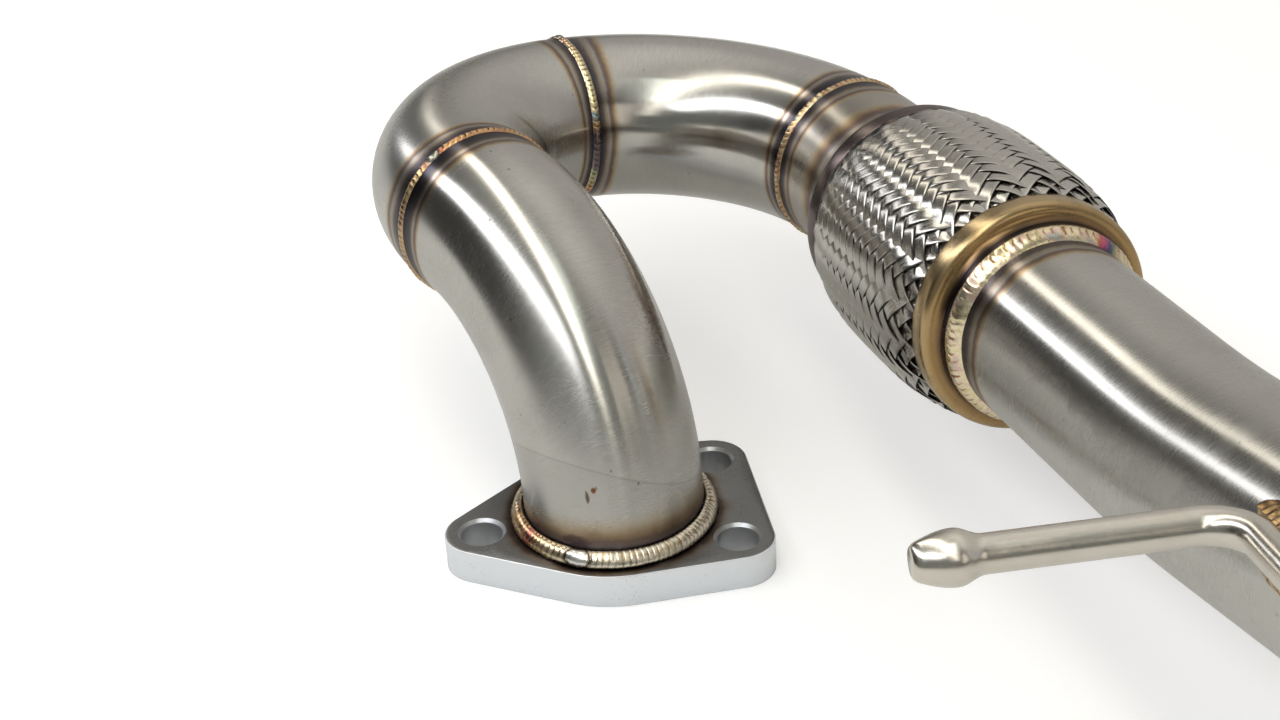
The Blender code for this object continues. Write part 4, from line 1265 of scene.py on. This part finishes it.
def strand(bm, flex, side, first, layers):
    """One flat strand of wires from end to end, which rises over two crossings and dips under two."""
    across_layer, lay_layer, groove_layer = layers
    half, radius = braid_shape(flex)
    count = 2 * flex.wires + 1
    section = []
    for j in range(count):
        u = 2 * j / (count - 1) - 1
        groove = 1.0 - j % 2
        crown = flex.strand_depth * (0.5 - 0.40 * u**8) - WIRE_GROOVE * groove
        section.append((u * flex.strand_width / 2, crown, (u + 1) / 2, groove))
    for end in (1.0, -1.0):
        section.append((end * 0.47 * flex.strand_width, -flex.strand_depth / 2, (end + 1) / 2, 1.0))
    peak = 0.5 if side > 0 else 2.5

    def spot(row):
        z = half * (2 * row / flex.rows - 1)
        column = first + side * row
        wave = math.cos(FULL_TURN * (column - peak) / 4)
        lift = 0.5 * flex.weave * wave / math.sqrt(wave * wave + 0.35) * math.sqrt(1.35)
        fade = unit((half + 0.001 - abs(z)) / WEAVE_FADE)
        height = radius(z) - flex.weave / 2 - flex.strand_depth / 2 + lift * (0.35 + 0.65 * fade)
        angle = FULL_TURN * column / (2 * flex.strands)
        return Vector((height * math.cos(angle), height * math.sin(angle), z))

    def station(row):
        here = spot(row)
        tangent = (spot(row + 0.05) - spot(row - 0.05)).normalized()
        out = Vector((here.x, here.y, 0.0)).normalized()
        out = (out - tangent * out.dot(tangent)).normalized()
        spread = 1.0 + 1.1 * max(0.0, min(1.0, abs(2 * row / flex.rows - 1)) - 0.5)
        return axes_frame(tangent.cross(out), out, tangent, here) @ Matrix.Diagonal((spread, 1.0, 1.0, 1.0))

    steps = 4 * flex.rows
    stations = [station((flex.rows + 2 * TUCK) * k / steps - TUCK) for k in range(steps + 1)]
    loop = []
    for x, y, u, groove in section:
        vert = bm.verts.new(stations[0] @ Vector((x, y, 0.0)))
        vert[across_layer] = u
        vert[groove_layer] = groove
        loop.append(vert)
    edges = closed_loop(bm, loop)
    bm.faces.new(loop)
    distance = 0.0
    for before, now in zip(stations, stations[1:]):
        made = bmesh.ops.extrude_edge_only(bm, edges=edges)["geom"]
        verts = [item for item in made if isinstance(item, bmesh.types.BMVert)]
        edges = [item for item in made if isinstance(item, bmesh.types.BMEdge)]
        bmesh.ops.transform(bm, matrix=now @ before.inverted(), verts=verts)
        distance += (now.translation - before.translation).length
        for vert in verts:
            vert[lay_layer] = distance
    bmesh.ops.holes_fill(bm, edges=edges, sides=0)


class JPIPE_OT_braid(bpy.types.Operator):
    """Build the woven sleeve, one piece for each direction of the strands"""

    bl_idname = "jpipe.braid"
    bl_label = "Braid"

    def execute(self, context):
        flex = sizes("flex")
        middle = pipe_plan()["flex"]
        half = braid_shape(flex)[0]
        metal = wire_metal("braid wire", tuple(sizes("finish").wire))
        for name, side in (("braid_right_hand", 1), ("braid_left_hand", -1)):
            bm = bmesh.new()
            layers = [bm.verts.layers.float.new(label) for label in ("across", "lay", "groove")]
            for first in (1, 3):
                strand(bm, flex, side, first, layers)
            spins = flex.strands // 2
            angle = FULL_TURN * (spins - 1) / spins
            spun(bm, bm.verts[:] + bm.edges[:] + bm.faces[:], spins - 1, angle=angle, use_duplicate=True)
            # Where the braid's inlet end gets its painted shadow
            shade = bm.verts.layers.float.new("shade")
            for vert in bm.verts:
                vert[shade] = unit((BRAID_SHADOW - half - vert.co.z) / BRAID_SHADOW_EDGE)
                slide = noise.noise(vert.co * 38.0) * STRAND_SWAY
                vert.co += Vector((-vert.co.y, vert.co.x, 0.0)).normalized() * slide * side
            piece(bm, name, metal, ["flex_braid"], sharp=60.0, station=middle)
        return {"FINISHED"}


class JPIPE_OT_inner_sleeves(bpy.types.Operator):
    """Give the bellows, the liner and the bead in the bore their metals"""

    bl_idname = "jpipe.inner_sleeves"
    bl_label = "Bellows and liner"

    def execute(self, context):
        sheet, weld = sheet_metal("thin sheet"), sheet_metal("bore weld")
        for node, metal in (("flex_bellows", sheet), ("flex_liner", sheet), ("inlet_bore_weld", weld)):
            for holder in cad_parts[node].material_slots:
                holder.material = metal
        return {"FINISHED"}


def hanger_directions(rod):
    """In the pipe's frame at the hanger: the outward normal, the direction of the rod's foot along the
    pipe, and the direction from the corner to the rod's tip."""
    around = math.radians(rod.around)
    outward = Vector((math.cos(around), math.sin(around), 0.0))
    forward = Vector((0.0, 0.0, 1.0))
    across = forward.cross(outward)
    slant, rise, swing = (math.radians(a) for a in (rod.slant, rod.rise, rod.swing))
    foot = forward * math.cos(slant) + across * math.sin(slant)
    level = forward * math.cos(swing) + across * math.sin(swing)
    return outward, foot, outward * math.sin(rise) + level * math.cos(rise)


def rod_height(tube, rod):
    """The distance from the pipe's centre line to the foot's."""
    return tube.radius + ROD_GAP + rod.radius


def bulb_sections(rod):
    """Distances from the tip and radii of the swaged bulb, with a rounded tip edge and a soft shoulder."""
    lip = 0.0003
    steps = [k / 10 for k in range(1, 11)]
    sections = [(0.0, rod.bulb_tip - 0.0010), (lip, rod.bulb_tip - 0.0004)]
    for share in steps:
        swell = (rod.bulb - rod.bulb_tip) * math.sin(share * math.pi / 2)
        sections.append((lip + share * (rod.bulb_widest - lip), rod.bulb_tip + swell))
    for share in steps:
        fall = (rod.bulb - rod.radius) * (1 + math.cos(share * math.pi)) / 2
        sections.append((rod.bulb_widest + (rod.bulb_length - rod.bulb_widest) * share, rod.radius + fall))
    return sections


class JPIPE_OT_hanger(bpy.types.Operator):
    """Build the bent hanger rod with its bulb"""

    bl_idname = "jpipe.hanger"
    bl_label = "Hanger rod"

    def execute(self, context):
        rod = sizes("rod")
        outward, foot, leg = hanger_directions(rod)
        heading = -leg
        toward = (foot - heading * foot.dot(heading)).normalized()
        turn = math.degrees(heading.angle(foot))
        reach = rod.bend * math.tan(math.radians(turn) / 2)
        sections = bulb_sections(rod)
        moves = []
        for (z1, r1), (z2, r2) in zip(sections, sections[1:]):
            moves.append((straight_run(z2 - z1), z2 - z1, r2 / r1))
        moves += run_moves(rod.leg - rod.bulb_length - reach, ROD_STEP)
        moves += bend_moves((rod.bend, turn, 0.0), ROD_TURN_STEP)
        moves += run_moves(rod.foot - reach - ROD_END, ROD_STEP)
        for part, widening in ((0.6, 0.96), (0.4, 0.88)):
            moves.append((straight_run(part * ROD_END), part * ROD_END, widening))
        bm = bmesh.new()
        bmesh.ops.create_circle(bm, cap_ends=True, segments=ROD_SIDES, radius=sections[0][1])
        sweep(bm, moves)
        tip = outward * rod_height(sizes("tube"), rod) + leg * rod.leg
        place = pipe_plan()["hanger"] @ axes_frame(toward, heading.cross(toward), heading, tip)
        metal = rod_metal("polished bar", tuple(sizes("finish").rod))
        piece(bm, "hanger_bar", metal, ["hanger_rod"], sharp=35.0, station=place)
        return {"FINISHED"}


def hanger_weld_section(tube, rod_sizes, size, drift):
    """The fillet's outline across the rod's foot, with the foot's centre at zero and the pipe at -X."""
    floor = tube.radius - BITE
    rod = rod_sizes.radius - BITE
    reach = rod_height(tube, rod_sizes)
    apart = math.hypot(reach, drift)
    wedge = min(1.0, (rod**2 + apart**2 - floor**2) / (2 * rod * apart))
    root = math.atan2(drift, reach) + math.acos(wedge)
    climb = root + (math.radians(HANGER_CLIMB) - root) * size
    toe = HANGER_TOE * size
    points = [Vector((-rod * math.cos(a), rod * math.sin(a))) for a in (root, (root + climb) / 2, climb)]
    on_rod = points[-1]
    on_pipe = Vector((math.sqrt(floor**2 - (toe - drift) ** 2) - reach, toe))
    out = Vector((on_pipe.y - on_rod.y, on_rod.x - on_pipe.x)).normalized()
    for share in (k / 7 for k in range(1, 7)):
        points.append(on_rod.lerp(on_pipe, share) + out * HANGER_CROWN * math.sin(share * math.pi) * size)
    return points + [on_pipe]


# Fillets of the hanger: the side of the foot, and where each begins and ends along it
WELD_RUNS = {"hanger_weld_left": (-1.0, -0.002, 0.032), "hanger_weld_right": (1.0, 0.014, 0.034)}


class JPIPE_OT_hanger_welds(bpy.types.Operator):
    """Build the lumpy fillets along the rod's foot"""

    bl_idname = "jpipe.hanger_welds"
    bl_label = "Hanger welds"

    def execute(self, context):
        rod = sizes("rod")
        tube = sizes("tube")
        outward, foot, _ = hanger_directions(rod)
        centre = outward * rod_height(tube, rod)
        place = pipe_plan()["hanger"] @ axes_frame(outward, foot.cross(outward), foot, centre)
        metal = weld_metal("hanger weld", BURNT_FILM, 0.30)
        for node, (side, begin, finish) in WELD_RUNS.items():
            bm = bmesh.new()
            crest = bm.verts.layers.float.new("crest")
            bm.verts.layers.float.new("tack")
            loop = None
            for share in (k / 40 for k in range(41)):
                z = begin + (finish - begin) * share
                size = min(1.0, 0.25 + 3.2 * math.sqrt(share * (1 - share)))
                ripple = 0.06 * math.sin(share * FULL_TURN * (finish - begin) / HANGER_PITCH)
                drift = -side * z * math.sin(math.radians(rod.slant))
                outline = hanger_weld_section(tube, rod, max(0.25, size + ripple), drift)
                verts = [bm.verts.new((spot.x, side * spot.y, z)) for spot in outline]
                for vert in verts:
                    vert[crest] = 0.5 + 6.0 * ripple
                edges = closed_loop(bm, verts)
                if loop:
                    bmesh.ops.bridge_loops(bm, edges=loop + edges)
                else:
                    bm.faces.new(verts)
                loop = edges
            bm.faces.new(verts)
            keep_places(bm)
            piece(bm, node.replace("weld", "fillet"), metal, [node], sharp=70.0, station=place)
        return {"FINISHED"}


# Softboxes, each a rectangle from start to end: places in metres, width, radiance and colour
LIGHTS = [
    ("cool strip", (-0.30, -1.50, 1.30), (-3.21, 3.98, 1.30), 0.34, 4.9, (0.97, 0.98, 1.0)),
    ("warm strip", (0.56, -2.93, 1.40), (-1.26, 3.83, 1.40), 0.24, 3.0, (1.0, 0.95, 0.84)),
    ("top panel", (0.12, -1.25, 1.45), (0.06, -0.15, 1.50), 0.34, 1.8, (0.92, 1.0, 0.92)),
    ("warm panel", (1.00, -1.26, 0.35), (1.28, -1.56, 1.60), 0.70, 0.9, (1.0, 0.93, 0.80)),
    ("blue edge", (1.69, -0.94, 0.10), (1.69, -0.94, 1.20), 0.12, 0.8, (0.70, 0.82, 1.0)),
]

# Walls of the studio: the direction that each faces, where its light starts and is full, and its colour
WALLS = [
    ((0.72, 0.52, 0.45), 0.35, 0.80, (0.50, 0.48, 0.45)),
    ((0.0, 0.1, 1.0), 0.50, 0.95, (0.30, 0.30, 0.28)),
    ((-0.3, -0.85, 0.35), 0.55, 0.95, (0.14, 0.15, 0.14)),
]
WALL_SHADE = (0.052, 0.05, 0.047, 1.0)


def studio_walls(tree):
    """A dim room with a bright wall at the back right, read from the direction of view."""
    graph = Graph(tree)
    direction = graph.add("ShaderNodeTexCoord").outputs["Generated"]
    light = WALL_SHADE
    for facing, low, high, shade in WALLS:
        along = graph.vector("DOT_PRODUCT", direction, Vector(facing).normalized())
        reach = graph.levels(along, low, high, interpolation_type="SMOOTHSTEP")
        light = graph.mix(reach, light, shade, blend="ADD")
    graph.feed(tree.nodes["Background"].inputs["Color"], light)


def strip_light(name, start, end, width, radiance, shade):
    """An area light that runs from start to end and faces the pipe."""
    middle = (start + end) / 2
    along = (end - start).normalized()
    facing = Vector((0.05, 0.0, 0.1)) - middle
    facing = (facing - along * facing.dot(along)).normalized()
    light = bpy.data.lights.new(name, "AREA")
    light.shape = "RECTANGLE"
    light.size = width
    light.size_y = (end - start).length
    light.energy = math.pi * radiance * width * light.size_y
    light.color = shade
    lamp = bpy.data.objects.new(name, light)
    lamp.matrix_world = axes_frame(along.cross(-facing), along, -facing, middle)
    bpy.context.scene.collection.objects.link(lamp)


def camera_matrix():
    """The camera's place, from its axes in the shared frame."""
    right = Vector((0.997747, -0.046011, -0.048834))
    up = Vector((0.065586, 0.515343, 0.854471))
    ahead = Vector((0.014149, 0.855748, -0.517199))
    return axes_frame(right, up, -ahead, (0.0, -0.724775, 0.511720))


class JPIPE_OT_stage(bpy.types.Operator):
    """Set the plain floor, the soft studio light and the camera"""

    bl_idname = "jpipe.stage"
    bl_label = "Stage"

    def execute(self, context):
        finish = sizes("finish")
        bm = bmesh.new()
        bmesh.ops.create_grid(bm, x_segments=4, y_segments=4, size=8.0)
        mesh = bpy.data.meshes.new("floor")
        bm.to_mesh(mesh)
        bm.free()
        pale = bpy.data.materials.new("pale floor")
        pale.use_nodes = True
        graph = Graph(pale.node_tree)
        seen = graph.add("ShaderNodeLightPath").outputs["Is Camera Ray"]
        lift = graph.mix(seen, (0.0, 0.0, 0.0), tuple(finish.floor_lift))
        for label, value in (
            ("Base Color", tuple(finish.floor)),
            ("Roughness", 0.9),
            ("Emission Color", lift),
            ("Emission Strength", 1.0),
        ):
            graph.feed(graph.shader.inputs[label], value)
        mesh.materials.append(pale)
        floor = bpy.data.objects.new("floor", mesh)
        context.scene.collection.objects.link(floor)
        world = bpy.data.worlds.new("studio")
        world.use_nodes = True
        studio_walls(world.node_tree)
        context.scene.world = world
        context.scene.view_settings.view_transform = "Standard"
        for name, start, end, *look in LIGHTS:
            strip_light(name, Vector(start), Vector(end), *look)
        data = bpy.data.cameras.new("camera")
        data.sensor_width = SENSOR
        data.lens = FOCAL_PX * SENSOR / IMAGE_WIDTH
        data.clip_start = 0.01
        camera = bpy.data.objects.new("camera", data)
        camera.matrix_world = camera_matrix()
        context.scene.collection.objects.link(camera)
        context.scene.camera = camera
        return {"FINISHED"}


class JPIPE_PT_panel(bpy.types.Panel):
    """Sizes, finishes and the steps that build the pipe"""

    bl_label = "J-Pipe"
    bl_idname = "JPIPE_PT_panel"
    bl_space_type = "VIEW_3D"
    bl_region_type = "UI"
    bl_category = "J-Pipe"

    def draw(self, context):
        layout = self.layout
        for operator in OPERATORS:
            layout.operator(operator.bl_idname)
        for group, name in GROUPS.items():
            box = layout.box()
            box.label(text=group.__doc__)
            for key in group.__annotations__:
                box.prop(sizes(name), key)


OPERATORS = [
    JPIPE_OT_flange,
    JPIPE_OT_flange_weld,
    JPIPE_OT_bends,
    JPIPE_OT_butt_welds,
    JPIPE_OT_caps,
    JPIPE_OT_neck_welds,
    JPIPE_OT_braid,
    JPIPE_OT_inner_sleeves,
    JPIPE_OT_hanger,
    JPIPE_OT_hanger_welds,
    JPIPE_OT_stage,
]
GROUPS = {
    TubeSizes: "tube",
    FlangeSizes: "flange",
    WeldSizes: "weld",
    FlexSizes: "flex",
    RodSizes: "rod",
    Finishes: "finish",
}


def register():
    for group, name in GROUPS.items():
        bpy.utils.register_class(group)
        setattr(bpy.types.Scene, "jpipe_" + name, PointerProperty(type=group))
    for operator in OPERATORS:
        bpy.utils.register_class(operator)
    bpy.utils.register_class(JPIPE_PT_panel)


def unregister():
    bpy.utils.unregister_class(JPIPE_PT_panel)
    for operator in reversed(OPERATORS):
        bpy.utils.unregister_class(operator)
    for group, name in reversed(GROUPS.items()):
        delattr(bpy.types.Scene, "jpipe_" + name)
        bpy.utils.unregister_class(group)


def main():
    register()
    for operator in OPERATORS:
        name = operator.bl_idname.split(".")[1]
        getattr(bpy.ops.jpipe, name)()


if __name__ == "__main__":
    main()
